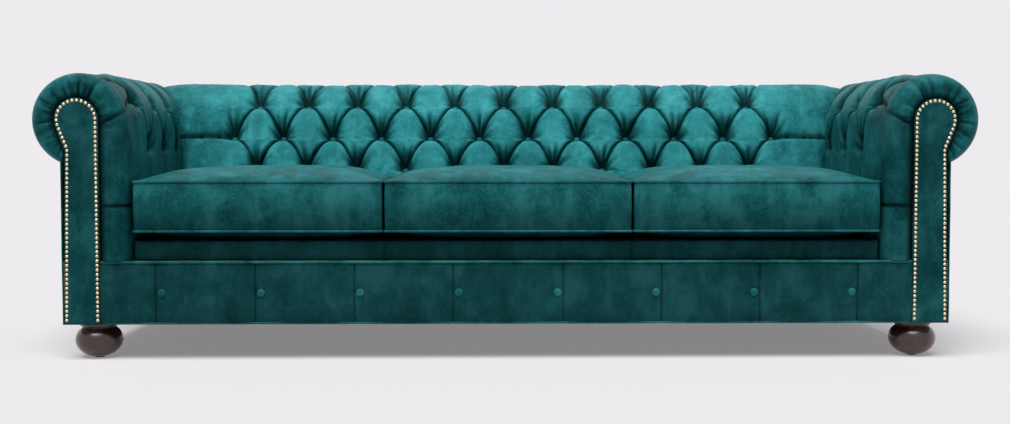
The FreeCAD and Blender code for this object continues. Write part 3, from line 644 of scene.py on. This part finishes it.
def arm_cover(side, name):
    half = ARM_PITCH / 2
    columns = 5
    last = ARM_FIRST + columns * half
    smooth_at = np.linspace(RIM_DEPTH, ARM_FIRST, FINE + 6)[1:]
    tufted = np.linspace(ARM_FIRST, last, columns * FINE + 1)[1:]
    tail = np.linspace(last, SEAT_DEPTH, 2 * FINE)[1:]
    tail = np.concatenate([tail, SEAT_DEPTH - np.array([0.0004, 0.0002, 0.0])])
    tail = np.unique(np.round(tail, 6))
    at = np.concatenate([smooth_at, tufted, tail])
    skew = np.concatenate([smooth_at * 0, tufted * 0, MITRE * (tail - last) / (SEAT_DEPTH - last)])
    theta = np.linspace(0, math.pi / 2, FINE + 8)
    reach = np.concatenate([0.5 - 0.5 * np.sin(theta[::-1]), (0.5 + 0.5 * np.cos(theta))[::-1][1:]])
    rim_front = 0.012 * (1 - np.cos(theta[::-1]))
    rim_w = np.concatenate([rim_front, (RIM_DEPTH - RIM_DEPTH * np.sin(theta))[::-1][1:]])
    s_rows, above = cover_rows(ARM_ROLL, ARM_ROWS, ARM_FRAME, APRON_TOP + GAP)
    rows = len(s_rows)
    tack = s_rows[0]
    a2, s2 = cross(at, s_rows)
    k2 = cross(skew, s_rows)[0]
    u0 = profile(ARM_ROLL, s2, 0 * s2)[0]
    w2 = a2 + k2 * np.maximum(u0, 0)
    folds = []
    buttons = arm_buttons()
    grid = buttons[:-1]
    for w, s in grid:
        r = ARM_ROWS.index(s)
        for step in (-1, 1):
            other = (w + step * half, ARM_ROWS[min(r + 1, 2)])
            if r < 2 and any(math.dist(other, b) < 0.001 for b in grid):
                folds.append((w, s, *other, 0.85, 0.85, 0.42))
        if r == 0:
            folds.append((w, s, w, tack, 0.85, 0.15, 0.0))
        if r == 2:
            folds.append((w, s, w, s + 0.2, 0.85, 0.2, 0.0))
    cw, cs = buttons[-1]
    folds.append((last, ARM_ROWS[0], cw, cs, 0.9, 0.9, 0.3))
    folds.append((cw, cs, last, ARM_ROWS[2], 0.9, 0.9, 0.3))
    folds.append((cw, cs, cw + 0.05, cs + 0.01, 0.9, 0.9, 0.0))
    # two long pleats run from the first button to the front of the scroll
    for route in (
        [(ARM_FIRST, ARM_ROWS[1]), (0.128, 0.113), (0.096, 0.116), (0.066, 0.124), (0.045, 0.134)],
        [(ARM_FIRST, ARM_ROWS[1]), (0.134, 0.088), (0.104, 0.066), (0.072, 0.054), (0.045, 0.050)],
    ):
        depths = [0.95, 0.75, 0.62, 0.55, 0.5]
        for (wa, sa), (wb, sb), da, db in zip(route, route[1:], depths, depths[1:]):
            folds.append((wa, sa, wb, sb, da, db, 0.0))
    full, line = fold_field(w2, s2, folds, buttons)
    seed = 2.0 if side < 0 else 9.0
    low = unit(s2 / 0.06)
    low = low * low * (3 - 2 * low)
    rear = unit((a2 - RIM_DEPTH) / (ARM_FIRST - RIM_DEPTH))
    side_low = unit((s2 - 0.12) / 0.11)
    base = ROLL_PUFF + (FULL_PUFF - 0.002 - ROLL_PUFF) * np.maximum(low * rear, side_low)
    base = base + 0.0015 * smooth_noise(w2, s2, 10.0, seed) * rear
    fan = wrinkle_fan(w2, s2, buttons, seed)
    lift = base * full + fan
    lift += 0.0008 * smooth_noise(w2, s2, 34.0, seed + 3, 3) * full
    lift = np.minimum(lift, LIFT_LIMIT)
    edge = unit((s2 - tack) / 0.05)
    lift = ROLL_PUFF + (lift - ROLL_PUFF) * edge
    near_end = unit((SEAT_DEPTH - a2) / 0.006)
    drop = np.sqrt(unit(1 - (1 - near_end) ** 2))
    lift = -TUCKED + (lift + TUCKED) * drop
    s_final = arch(s2, ARM_ROWS, ARM_ARCH * rear)
    s_final = s_final + 0.003 * smooth_noise(w2, s2, 7.0, seed + 5) * (edge > 0.99) * rear
    s_final[:, -1] = s2[:, -1]
    u, z = profile(ARM_ROLL, s_final, lift)
    w = a2 + k2 * u
    # the leather goes on over the front of the scroll and into the recess, with gathers
    rim_count = len(reach)
    r2, rs2 = cross(reach, s_rows)
    wf2 = cross(rim_w, s_rows)[0]
    rim_low = unit((rs2 - 0.12) / 0.11)
    rim_lift = ROLL_PUFF + (FULL_PUFF - 0.002 - ROLL_PUFF) * rim_low
    ou, oz = profile(ARM_ROLL, rs2, rim_lift)
    fu, fz = facing_edge(rs2)
    ru = fu + (ou - fu) * r2
    rz = fz + (oz - fz) * r2
    pull = unit(1 - np.abs(r2 - 0.35) / 0.6) ** 1.2
    gather = smooth_noise(rs2 * 55.0, 0 * rs2, 1.0, seed + 1, 2)
    sharp = -unit(1 - np.abs(gather) * 6)
    crease = np.zeros_like(rs2)
    for k in range(15):
        at_s = -0.285 + 0.0245 * k + 0.006 * math.sin(5.1 * k + seed)
        long = 0.55 + 0.45 * math.sin(2.3 * k + seed) ** 2
        bend = 0.012 * math.sin(1.9 * k + seed)
        fade = unit((long - r2) / 0.25)
        crease += fade * np.exp(-(((rs2 - at_s - bend * r2) / 0.0042) ** 2))
    for from_s, to_s, strength in ((0.134, 0.168, 1.3), (0.050, 0.046, 0.9)):
        crease += strength * np.exp(-(((rs2 - from_s - (to_s - from_s) * (1 - r2)) / 0.0048) ** 2))
    crease = np.clip(crease, 0, 1.4)
    head = np.clip(1 - (rs2 - 0.16) / 0.06, 0.12, 1)
    ripple = (0.0034 * gather + 0.0030 * sharp) * pull * head - 0.0045 * crease * unit(r2 * 6)
    seam_s = profile_length(ARM_ROLL, TUCK_SEAM_Z, 0.02)
    tuck = np.exp(-((rs2 - seam_s) / 0.004) ** 2) * unit(r2 * 3)
    ru = ru + 0.002 * tuck
    rw = wf2 - ripple + 0.004 * tuck
    outer_u, outer_z, outer_w = [np.concatenate(pair) for pair in ((ru, u), (rz, z), (rw, w))]
    cols = len(outer_u)
    floor_z = APRON_TOP + GAP
    y = FRONT + outer_w
    outer = np.stack([side * (SEAT_HALF + outer_u), y, np.maximum(outer_z, floor_z)], -1).reshape(-1, 3)
    s_in = np.linspace(tack * 0.985, s_rows[-1], INNER_ROWS)
    inner_at = np.concatenate([np.full(rim_count, 0.0), at])
    inner_skew = np.concatenate([np.zeros(rim_count), skew])
    si = cross(inner_at, s_in)[1]
    ki = cross(inner_skew, s_in)[0]
    ui, zi = profile(ARM_ROLL, si, si * 0 - INNER_DEPTH)
    fi_u, fi_z = facing_edge(si)
    blend = np.concatenate([np.linspace(0, 1, rim_count), np.ones(len(at))])[:, None]
    depth = np.concatenate([np.linspace(0.0145, 0.046, rim_count), at])[:, None]
    ui = fi_u + (ui - fi_u) * blend
    zi = fi_z + (zi - fi_z) * blend
    inner = np.stack([side * (SEAT_HALF + ui), FRONT + depth + ki * ui, np.maximum(zi, floor_z)], -1)
    inner = inner.reshape(-1, 3)
    offset = rim_count + len(smooth_at) - 1

    def diagonal(i, j):
        return ((i - offset) // FINE + (j - above) // FINE) % 2 == 1

    verts = np.concatenate([outer, inner])
    faces = grid_faces(rows, cols, diagonal) + close_grid(rows, cols)
    # painted light on the scroll's rim: painted shade lower down the pad, in the gathers' creases, at the
    # tuck seam and where the leather turns into the recess; lighter on the gathers' ridges
    low_pad = 0.16 * unit((rs2 - 0.10) / 0.08)
    turned_in = 0.5 * (1 - unit(r2 * 4))
    rim_painted_light = unit(0.50 - low_pad + 0.16 * r2 + ripple * 62 - 0.6 * tuck - turned_in)
    # painted light on the tufted arm: lighter on full crowns and wrinkles, painted shade along the creases,
    # at the corner and on the front pad
    light = unit(lift / FULL_PUFF * (1 + 150 * fan)) * line
    light = light * (0.55 + 0.45 * drop) * (0.62 + 0.38 * rear)
    painted_light = np.concatenate([rim_painted_light.ravel(), light.ravel(), np.zeros(len(inner))])
    ob = mesh_object(name + "_arm_cover", verts, faces, painted_light=painted_light)
    nodes = (name + "_arm_tufted_cover", name + "_arm_foam", name + "_scroll_rim")
    finish_piece(ob, LEATHER_TUFT, nodes, fill=COVER_FILL)
    return buttons


def button_form(centre, normal, spin=0.0):
    """A covered button: a dome with a few puckers round its rim."""
    normal = Vector(normal).normalized()
    centre = Vector(centre)
    steps = [(1.0, -0.5), (1.03, 0.05), (1.0, 0.35), (0.9, 0.62), (0.72, 0.84), (0.5, 0.96), (0.25, 1.0)]
    turns = 24
    verts = []
    for share, lift in steps:
        for k, way in enumerate(spokes(normal, turns)):
            pucker = 1 + 0.025 * math.sin(8 * (2 * math.pi * k / turns) + spin) * share**3
            verts.append(centre + normal * BUTTON_H * lift + way * (BUTTON_R * share * pucker))
    verts.append(centre + normal * BUTTON_H * 1.01)
    faces = ring_faces(len(steps), turns)[:-1]
    base = faces.pop()
    top = (len(steps) - 1) * turns
    faces += [(top + k, top + (k + 1) % turns, len(verts) - 1) for k in range(turns)]
    faces.append(base)
    return verts, faces


def tuft_buttons(name, roll, buttons, place, nodes):
    parts = []
    for k, (at, s) in enumerate(buttons):
        feet = [profile(roll, np.array([s]), np.array([lift])) for lift in (0.001, 0.011)]
        foot, tip = [Vector(place(float(u[0]), float(z[0]), at)) for u, z in feet]
        parts.append(button_form(foot, tip - foot, spin=k))
    finish_piece(merged(name, parts), LEATHER_BUTTON, nodes)


back_buttons = back_cover()
tuft_buttons(
    "back_button_caps",
    BACK_ROLL,
    back_buttons,
    lambda u, z, x: (x, FRONT + SEAT_DEPTH + u, z),
    ("back_buttons",),
)
for side, name in SIDES:
    spots = arm_cover(side, name)
    tuft_buttons(
        name + "_arm_button_caps",
        ARM_ROLL,
        spots,
        lambda u, z, w, side=side: (side * (SEAT_HALF + u), FRONT + w, z),
        (name + "_arm_buttons",),
    )


# Loose seat cushions

CUSHION_W = (2 * SEAT_HALF - 0.002) / 3
LOW_WELT, TOP_WELT, CROWN = 0.329, 0.461, 0.037
CUSHION_Y = (FRONT + 0.006, 0.127)


def cushion(index, name):
    x0 = -SEAT_HALF + 0.001 + index * CUSHION_W + 0.0012
    x1 = x0 + CUSHION_W - 0.0024
    y0, y1 = CUSHION_Y
    nx, ny, nz = ((108, 98, 24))
    cx, cy, hx, hy = (x0 + x1) / 2, (y0 + y1) / 2, (x1 - x0) / 2, (y1 - y0) / 2
    seed = 13.0 + 5 * index

    def seam(px, py):
        """The place of the seam line for a point of the unit square's edge."""
        inx = 0.0035 * (1 - px**4) if abs(abs(py) - 1) < 1e-9 else 0.0
        iny = 0.0030 * (1 - py**4) if abs(abs(px) - 1) < 1e-9 else 0.0
        corner = 0.0028 * (abs(px) ** 12) * (abs(py) ** 12)
        ux = px * (hx - SIDE_INSET - iny - corner)
        uy = py * (hy - FRONT_INSET - inx - corner)
        return cx + ux, cy + uy

    verts, painted_light = [], []
    evenly = [np.linspace(-1, 1, n + 1) for n in (nx, ny)]
    gx, gy = [np.sin(t * math.pi / 2) * 0.25 + t * 0.75 for t in evenly]

    def crown(px, py):
        a = (1 - abs(px) ** 4.2) ** 0.75 if abs(px) < 1 else 0.0
        b = (1 - abs(py) ** 3.0) ** 0.75 if abs(py) < 1 else 0.0
        return a * b

    def add(px, py, upper):
        """Adds a point of the top or the bottom panel."""
        edge_x = (hx - SIDE_INSET - 0.003 * (1 - py**4)) / hx
        edge_y = (hy - FRONT_INSET - 0.0035 * (1 - px**4)) / hy
        x = cx + px * hx * edge_x
        y = cy + py * hy * edge_y
        if abs(px) == 1 or abs(py) == 1:
            x, y = seam(px, py)
        c = crown(px, py)
        if upper:
            dent = 0.0022 * fractal(x * 7 + seed, y * 7, 0.0, 2) + 0.0006 * fractal(x * 26, y * 26, seed)
            z = TOP_WELT - 0.002 + (CROWN + dent) * c + dent * min(1, c * 2) * 0.3
        else:
            z = max(LOW_WELT + 0.001 - 0.060 * c**1.9, DECK_TOP + GAP)
        verts.append((x, y, z))
        # painted light: the top lighter towards its crown, painted shade at its edge and on the bottom panel
        painted_light.append((0.66 + 0.2 * c if c > 0 else 0.14) if upper else 0.2)
        return len(verts) - 1

    sheets = {}
    for upper in (True, False):
        for i, px in enumerate(gx):
            for j, py in enumerate(gy):
                sheets[upper, i, j] = add(float(px), float(py), upper)
    faces = []
    for upper in (True, False):
        for i in range(nx):
            for j in range(ny):
                a, b = sheets[upper, i, j], sheets[upper, i + 1, j]
                c, d = sheets[upper, i + 1, j + 1], sheets[upper, i, j + 1]
                faces.append((a, b, c, d) if upper else (a, d, c, b))
    loop = [(i, 0) for i in range(nx)] + [(nx, j) for j in range(ny)]
    loop += [(i, ny) for i in range(nx, 0, -1)] + [(0, j) for j in range(ny, 0, -1)]
    high = [sheets[True, i, j] for i, j in loop]
    low = [sheets[False, i, j] for i, j in loop]
    count = len(loop)
    rings = [low]
    for k in range(1, nz):
        t = k / nz
        ring = []
        for m, (i, j) in enumerate(loop):
            p = Vector(verts[low[m]]).lerp(Vector(verts[high[m]]), t)
            px, py = float(gx[i]), float(gy[j])
            swell = math.sin(math.pi * t) ** 0.7
            corner = 1 - (abs(px) * abs(py)) ** 10 * 0.55
            ripple = 0.0012 * fractal(p.x * 9 + seed, p.y * 9, p.z * 9) * swell
            if abs(py) == 1:
                out = (0.0095 * swell * corner) + ripple
                p.y += math.copysign(min(out, 0.0105), py)
            if abs(px) == 1:
                p.x += math.copysign(min(0.0030 * swell * corner + ripple * 0.3, 0.0032), px)
            verts.append(tuple(p))
            # painted shade: the boxing darker towards the bottom, lighter where it swells
            painted_light.append(0.32 + 0.42 * t**1.5 * (0.5 + 0.5 * swell))
            ring.append(len(verts) - 1)
        rings.append(ring)
    rings.append(high)
    for a, b in zip(rings, rings[1:]):
        for m in range(count):
            n = (m + 1) % count
            faces.append((a[m], a[n], b[n], b[m]))
    body = name + "_cushion"
    ob = mesh_object(body, verts, faces, painted_light=painted_light)
    finish_piece(ob, LEATHER_CUSHION, (body + "_cover", body + "_core"), body, fill=CUSHION_FILL)
    for upper, tag in ((True, "top"), (False, "low")):
        line = []
        for m in high if upper else low:
            p = Vector(verts[m])
            p.z += -0.001 if upper else 0.001
            p.y += math.copysign(0.0022, p.y - cy) if abs(abs(p.y - cy) - hy) < 0.02 else 0
            p.x += math.copysign(0.0012, p.x - cx) if abs(abs(p.x - cx) - hx) < 0.01 else 0
            line.append(p)
        welt = merged(body + "_welt_" + tag, [tube(line, CUSHION_WELT_R, closed=True)])
        finish_piece(welt, LEATHER_WELT, body=body)


# the cushions' leather takes the painted light kept on the mesh
LEATHER_CUSHION = leather("leather_cushions", 1.0, painted_light=True, wear=1.3, gloss=0.05)
for index, name in enumerate(("left", "centre", "right")):
    cushion(index, name)


# Apron, deck, facings and outside covers


def panel(name, xs, zs, depth_at, back, turn, material, nodes=()):
    """A padded panel over a grid: depth_at gives the front face, back the flat rear."""
    faces = []
    nx, nz = len(xs), len(zs)
    spots = [(x, z) for x in xs for z in zs]
    front = [depth_at(float(x), float(z)) for x, z in spots]
    verts = [turn(x, d, z) for (x, z), (d, r) in zip(spots, front)]
    verts += [turn(x, back, z) for x, z in spots]
    painted_light = [r for d, r in front] + [0.6] * len(spots)
    half = nx * nz
    for i in range(nx - 1):
        for j in range(nz - 1):
            a, b = i * nz + j, (i + 1) * nz + j
            faces.append((a, b, b + 1, a + 1))
            faces.append((half + a, half + a + 1, half + b + 1, half + b))
    edge = [i * nz for i in range(nx)] + [(nx - 1) * nz + j for j in range(1, nz)]
    edge += [i * nz + nz - 1 for i in range(nx - 2, -1, -1)] + [j for j in range(nz - 2, 0, -1)]
    for a, b in zip(edge, edge[1:] + edge[:1]):
        faces.append((a, half + a, half + b, b))
    ob = mesh_object(name, verts, faces, painted_light=painted_light)
    return finish_piece(ob, material, nodes)


APRON_HALF = 1.0435
APRON_X = [(i - 3.5) * APRON_PITCH for i in range(8)]


def apron():
    step = 0.0035
    xs = np.linspace(-APRON_HALF, APRON_HALF, int(2 * APRON_HALF / step))
    pleats = [x + math.copysign(0.0145, x) for x in APRON_X]
    beside = [p + d for p in pleats for d in (-0.0015, 0.0015)]
    xs = np.unique(np.round(np.concatenate([xs, pleats, beside]), 5))
    zs = LEG + (APRON_TOP - LEG) * np.linspace(0, 1, 36)

    def depth_at(x, z):
        t = (z - LEG) / (APRON_TOP - LEG)
        bulge = 1 - abs(2 * t - 1) ** 5
        depth = 0.0105 - 0.0055 * bulge
        # painted light kept on the mesh: painted shade along each pleat and towards the top and bottom edges
        painted_brightness = 0.8
        for bx in APRON_X:
            r = math.hypot(x - bx, z - APRON_BUTTON_Z)
            depth += 0.0052 * math.exp(-((r / 0.022) ** 2))
            depth += 0.0016 * math.exp(-((x - bx) / 0.05) ** 2)
        for px in pleats:
            d = abs(x - px)
            cut = math.exp(-((d / 0.0022) ** 2))
            depth += 0.0026 * cut + 0.0012 * math.exp(-((d / 0.012) ** 2))
            painted_brightness -= 0.38 * cut
        depth -= 0.0013 * fractal(x * 8, 0.0, z * 8) * bulge
        return min(depth, 0.026), max(painted_brightness - 0.25 * (1 - bulge), 0.05)

    panel("front_apron_cover", xs, zs, depth_at, 0.0295, lambda x, d, z: (x, FRONT + d, z), LEATHER_APRON,
          nodes=("front_apron",))
    spots = [(x, FRONT + 0.0115, APRON_BUTTON_Z) for x in APRON_X]
    parts = [button_form(spot, (0, -1, 0), spin=k) for k, spot in enumerate(spots)]
    finish_piece(merged("apron_button_caps", parts), LEATHER_BUTTON, ("apron_buttons",))
    welts = (("top", 0.0085, APRON_TOP - 0.0015, 0.0035), ("low", 0.012, LEG + 0.003, 0.0028))
    for tag, w, z, radius in welts:
        line = [(x, FRONT + w, z) for x in np.linspace(-APRON_HALF + 0.002, APRON_HALF - 0.002, 200)]
        welt = merged("apron_" + tag + "_welt", [tube(line, radius)])
        finish_piece(welt, LEATHER_WELT)


def deck():
    xs = np.linspace(-DECK_HALF, DECK_HALF, 300)
    zs = np.linspace(APRON_TOP, DECK_TOP, 12)

    def depth_at(x, z):
        t = (z - APRON_TOP) / (DECK_TOP - APRON_TOP)
        bulge = 1 - abs(2 * t - 1) ** 4
        seam = sum(math.exp(-(((x - s) / 0.003) ** 2)) for s in (-SEAM_X, SEAM_X))
        uneven = 0.0008 * fractal(x * 10, 3.0, z * 10, 2)
        # painted shade along the two seams
        return 0.0395 - 0.0012 * bulge + 0.002 * seam - uneven, 0.55 - 0.4 * seam

    panel("deck_border_cover", xs, zs, depth_at, 0.044, lambda x, d, z: (x, FRONT + d, z), LEATHER_APRON,
          nodes=("deck_border",))
    xs = np.linspace(-DECK_HALF, DECK_HALF, 160)
    ys = np.linspace(FRONT + 0.0445, 0.1700, 50)

    def height_at(x, y):
        return DECK_TOP - 0.0006 - 0.0012 * (1 + fractal(x * 6, y * 6, 1.0, 2)), 0.5

    ob = panel("deck_platform", xs, ys, height_at, APRON_TOP + GAP, lambda x, d, y: (x, y, d), LINING,
               nodes=("deck_pad", "deck_cover"))


def facing_outline(grow, low):
    """The facing's outline as (u, z), from the outer foot over the head to the inner foot."""
    radius = FACING_R + grow
    inset = ARM_ROLL[0]
    outer = ARM_FRAME - 0.001 + grow
    waist = (outer - 0.007, 0.535 - grow)
    reach_u, reach_z = waist[0] - inset, waist[1] - ROLL_HEIGHT
    bearing = math.atan2(reach_z, reach_u) + math.acos(radius / math.hypot(reach_u, reach_z))
    points = [(outer + (waist[0] - outer) * t, low + (waist[1] - low) * t) for t in np.linspace(0, 1, 24)]
    for a in np.linspace(bearing, math.pi, 28):
        points.append((inset + radius * math.cos(a), ROLL_HEIGHT + radius * math.sin(a)))
    points += [(inset - radius, ROLL_HEIGHT + (low - ROLL_HEIGHT) * t) for t in np.linspace(0, 1, 28)[1:]]
    return points


def resample(points, pitch):
    """Points at even distances along an open line."""
    pts = [Vector((*p, 0.0)) for p in points]
    lengths = [0.0]
    for a, b in zip(pts, pts[1:]):
        lengths.append(lengths[-1] + (b - a).length)
    count = max(2, round(lengths[-1] / pitch) + 1)
    out, k = [], 0
    for i in range(count):
        d = lengths[-1] * i / (count - 1)
        while k < len(pts) - 2 and lengths[k + 1] < d:
            k += 1
        t = (d - lengths[k]) / max(lengths[k + 1] - lengths[k], 1e-9)
        p = pts[k].lerp(pts[k + 1], min(t, 1.0))
        out.append((p.x, p.y))
    return out


# How far the facing's outline grows, and how deep it lies, from its rear edge to its middle
FACING_RINGS = [
    (-0.0004, 0.0118), (-0.0004, 0.0062), (-0.0012, 0.0052), (-0.004, 0.0046),
    (-0.010, 0.0042), (-0.022, 0.0040), (-0.034, 0.0040),
]
# A nail's dome as (radius, height), and the distance from nail to nail
NAIL_DOME = [
    (0.0044, 0.0), (0.0044, 0.0005), (0.0040, 0.0014), (0.0031, 0.0022), (0.0018, 0.0028), (0.0004, 0.0030),
]
NAIL_PITCH = 0.01175


def facing(side, name):
    def put(u, z, w):
        return (side * (SEAT_HALF + u), FRONT + w, z)

    rings = []
    for grow, w in FACING_RINGS:
        rings.append([put(u, z, w) for u, z in facing_outline(grow, LEG - min(grow, -0.0004))])
    verts = [p for ring in rings for p in ring]
    faces = ring_faces(len(rings), len(rings[0]))
    ob = mesh_object(name + "_facing_panel", verts, faces)
    finish_piece(ob, LEATHER_SHADED, (name + "_facing",))
    spots = resample(facing_outline(-0.0070, LEG + 0.012), NAIL_PITCH)
    nails = [lathe(NAIL_DOME, put(u, z, 0.0048), (0, -1, 0), 14) for u, z in spots]
    finish_piece(merged(name + "_facing_nails", nails), BRASS)


def outside_covers():
    for side, name in SIDES:
        ys = np.concatenate([[0.004, 0.0055, 0.008], np.linspace(0.012, SEAT_DEPTH + BACK_FRAME, 90)])
        zs = np.linspace(LEG, OUTSIDE_TOP, 50)
        lo, hi = ys[0], ys[-1]

        def depth_at(w, z, lo=lo, hi=hi):
            a = min(1, (w - lo) / 0.006, (hi - w) / 0.02)
            b = min(1, (z - LEG) / 0.015, (OUTSIDE_TOP - z) / 0.015)
            full = 0.0020 * math.sqrt(max(a, 0) * max(b, 0))
            return 0.0018 + full + 0.0009 * fractal(w * 5, 2.0 * side, z * 5), 0.7

        def put(w, d, z, side=side):
            back = unit((RIM_DEPTH - w) / RIM_DEPTH)
            radius = 0.090 + 0.030 * math.sqrt(1 - back**2)
            top = ROLL_HEIGHT - math.sqrt(radius**2 - 0.040**2) - 0.0014
            height = LEG + (z - LEG) * (top - LEG) / (OUTSIDE_TOP - LEG)
            return (side * (SEAT_HALF + ARM_FRAME + d), FRONT + w, height)

        replaced = (name + "_outside_cover",)
        panel(name + "_outside_panel", ys, zs, depth_at, 0.0, put, LEATHER_SIDE, nodes=replaced)
    half = SEAT_HALF + ARM_OUTSIDE
    xs = np.linspace(-half, half, 240)
    zs = np.linspace(LEG, BACK_OUTSIDE_TOP, 50)
    rear = SEAT_DEPTH + BACK_FRAME

    def back_depth(x, z):
        a = min(1, (half - abs(x)) / 0.02)
        b = min(1, (z - LEG) / 0.015, (BACK_OUTSIDE_TOP - z) / 0.015)
        full = 0.0035 * math.sqrt(max(a, 0) * max(b, 0))
        return 0.0012 + full + 0.0012 * fractal(x * 4, 9.0, z * 4), 0.7

    def place(x, d, z):
        return (x, FRONT + rear + d, z)

    panel("back_outside_panel", xs, zs, back_depth, 0.0, place, LEATHER_SIDE, nodes=("back_outside_cover",))


# Shaded copies of the leather: painted shade makes the apron and deck border much darker and the outside
# panels darker
LEATHER_APRON = leather("leather_apron", 0.30, painted_light=True)
LEATHER_SIDE = leather("leather_outside", 0.70, painted_light=True, wear=0.7)
apron()
deck()
for side, name in SIDES:
    facing(side, name)
outside_covers()


# Feet and the cloth under the frame

FOOT_PROFILE = [
    (0.0150, 0.0040), (0.0240, 0.0042), (0.0285, 0.0062), (0.0400, 0.0120), (0.0510, 0.0215),
    (0.0580, 0.0330), (0.0607, 0.0450), (0.0590, 0.0575), (0.0530, 0.0690), (0.0455, 0.0765),
    (0.0425, 0.0790), (0.0425, 0.0805), (0.0460, 0.0820), (0.0480, 0.0850), (0.0480, 0.0900),
    (0.0470, 0.0917), (0.0100, 0.0917),
]


def feet():
    for name in ("front", "back"):
        low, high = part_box(name + "_feet")
        y = (low.y + high.y) / 2
        x = high.x - FOOT_R
        parts = [lathe(FOOT_PROFILE, (side * x, y, 0.0), (0, 0, 1), 48) for side in (-1, 1)]
        finish_piece(merged(name + "_bun_feet", parts), FOOT_WOOD, (name + "_feet",))


feet()


def dust_sheet():
    """The thin cloth tacked under the frame, cut out round the four foot plates."""
    low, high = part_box("dust_cover")
    plates_low, plates_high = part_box("foot_plates")
    feet_low, feet_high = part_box("front_feet")
    at_x = feet_high.x - (feet_high.y - feet_low.y) / 2
    cut = plates_high.x - at_x + 0.002
    rows = (plates_low.y + cut - 0.002, plates_high.y - cut + 0.002)
    places = [(sx * at_x, y) for sx in (-1, 1) for y in rows]
    xs = set(np.round(np.linspace(low.x, high.x, 90), 5))
    xs |= {round(x + d, 5) for x, y in places for d in (-cut, cut)}
    ys = set(np.round(np.linspace(low.y, high.y, 36), 5))
    ys |= {round(y + d, 5) for x, y in places for d in (-cut, cut)}
    xs = sorted(x for x in xs if low.x <= x <= high.x)
    ys = sorted(y for y in ys if low.y <= y <= high.y)
    kept = []
    for i in range(len(xs) - 1):
        for j in range(len(ys) - 1):
            mx, my = (xs[i] + xs[i + 1]) / 2, (ys[j] + ys[j + 1]) / 2
            if all(max(abs(mx - x), abs(my - y)) > cut for x, y in places):
                kept.append((i, j))
    verts, index, faces, edges = [], {}, [], {}
    for i, j in sorted({(i + a, j + b) for i, j in kept for a in (0, 1) for b in (0, 1)}):
        tx, ty = (xs[i] - low.x) / (high.x - low.x), (ys[j] - low.y) / (high.y - low.y)
        sag = 0.0035 * math.sin(math.pi * tx) ** 0.5 * math.sin(math.pi * ty)
        index[i, j] = len(verts)
        verts += [(xs[i], ys[j], low.z - sag), (xs[i], ys[j], high.z - 0.0002 - sag)]
    for i, j in kept:
        ring = [index[i, j], index[i + 1, j], index[i + 1, j + 1], index[i, j + 1]]
        faces += [tuple(ring[::-1]), tuple(k + 1 for k in ring)]
        for a, b in zip(ring, ring[1:] + ring[:1]):
            edges[a, b] = 1
    faces += [(a, b, b + 1, a + 1) for a, b in edges if (b, a) not in edges]
    ob = mesh_object("dust_sheet", verts, faces, smooth=False)
    finish_piece(ob, LINING, ("dust_cover",))


dust_sheet()

# Hidden parts carried over from the CAD
FINISHES = {
    "frame_wood": FRAME_WOOD, "webbing": WEBBING, "lining": LINING, "steel": STEEL, "glide": GLIDE,
    "leather": LEATHER_SHADED, "foam": WEBBING, "foot_wood": FOOT_WOOD,
}
for node_name, ob in frame["nodes"].items():
    if ob.hide_render:
        continue
    slot_name = next(p["material_slot"] for p in frame["record"]["subparts"] if p["node"] == node_name)
    ob.data.materials.clear()
    ob.data.materials.append(FINISHES[slot_name])


# Floor, light and camera

STUDIO_COLOUR = (0.855, 0.831, 0.855, 1)
SHADOW_LIGHT = 0.27
FLOOR_REACH = 60.0
SUN_TILT, SUN_TURN, SUN_SPREAD = 24, -14, 44
FILL, KEY = 0.12, 3.03


def seen_rays(tree):
    """1 for a ray from the camera, off a gloss or through a clear thing, 0 for any other."""
    rays = add_node(tree, "ShaderNodeLightPath").outputs
    pair = {0: rays["Is Glossy Ray"], 1: rays["Is Transmission Ray"]}
    clear = add_node(tree, "ShaderNodeMath", pair, operation="MAXIMUM").outputs[0]
    pair = {0: rays["Is Camera Ray"], 1: clear}
    return add_node(tree, "ShaderNodeMath", pair, operation="MAXIMUM").outputs[0]


def studio():
    n = Nodes("studio")
    n.set("Base Color", STUDIO_COLOUR)
    n.set("Roughness", 1.0)
    n.set("Specular IOR Level", 0.0)
    glow = n.add("ShaderNodeEmission", {"Color": STUDIO_COLOUR})
    shown = n.math("MULTIPLY", seen_rays(n.tree), SHADOW_LIGHT)
    both = n.add("ShaderNodeMixShader", {0: shown, 1: n.shader.outputs[0], 2: glow.outputs[0]})
    n.tree.links.new(both.outputs[0], n.tree.nodes["Material Output"].inputs["Surface"])
    corners = [(x * FLOOR_REACH, y * FLOOR_REACH, 0.0) for x, y in ((-1, -1), (1, -1), (1, 1), (-1, 1))]
    floor = mesh_object("studio_floor", corners, [(0, 1, 2, 3)], outward=False)
    floor.data.materials.append(n.material)
    world = bpy.data.worlds.new("studio_light")
    bpy.context.scene.world = world
    world.use_nodes = True
    tree = world.node_tree
    fill = tree.nodes["Background"]
    fill.inputs["Color"].default_value = (1, 1, 1, 1)
    fill.inputs["Strength"].default_value = FILL
    backdrop = add_node(tree, "ShaderNodeBackground", {"Color": STUDIO_COLOUR})
    shaders = {0: seen_rays(tree), 1: fill.outputs[0], 2: backdrop.outputs[0]}
    mix = add_node(tree, "ShaderNodeMixShader", shaders)
    tree.links.new(mix.outputs[0], tree.nodes["World Output"].inputs["Surface"])
    sun = bpy.data.lights.new("soft_overhead", "SUN")
    sun.energy = KEY
    sun.angle = math.radians(SUN_SPREAD)
    ob = add_object("soft_overhead", sun)
    ob.location = (0, -1, 4)
    ob.rotation_euler = (math.radians(SUN_TILT), 0, math.radians(SUN_TURN))


studio()
camera_data = bpy.data.cameras.new("camera")
camera_data.sensor_width = 36.0
camera_data.lens = 36.0 * 1318 / 1010
camera = add_object("camera", camera_data)
camera.location = (-0.07, -3.83, 0.54)
camera.rotation_euler = (math.radians(90 - 2.7), 0, math.radians(-1.04))
bpy.context.scene.camera = camera
bpy.context.scene.view_settings.view_transform = "Standard"
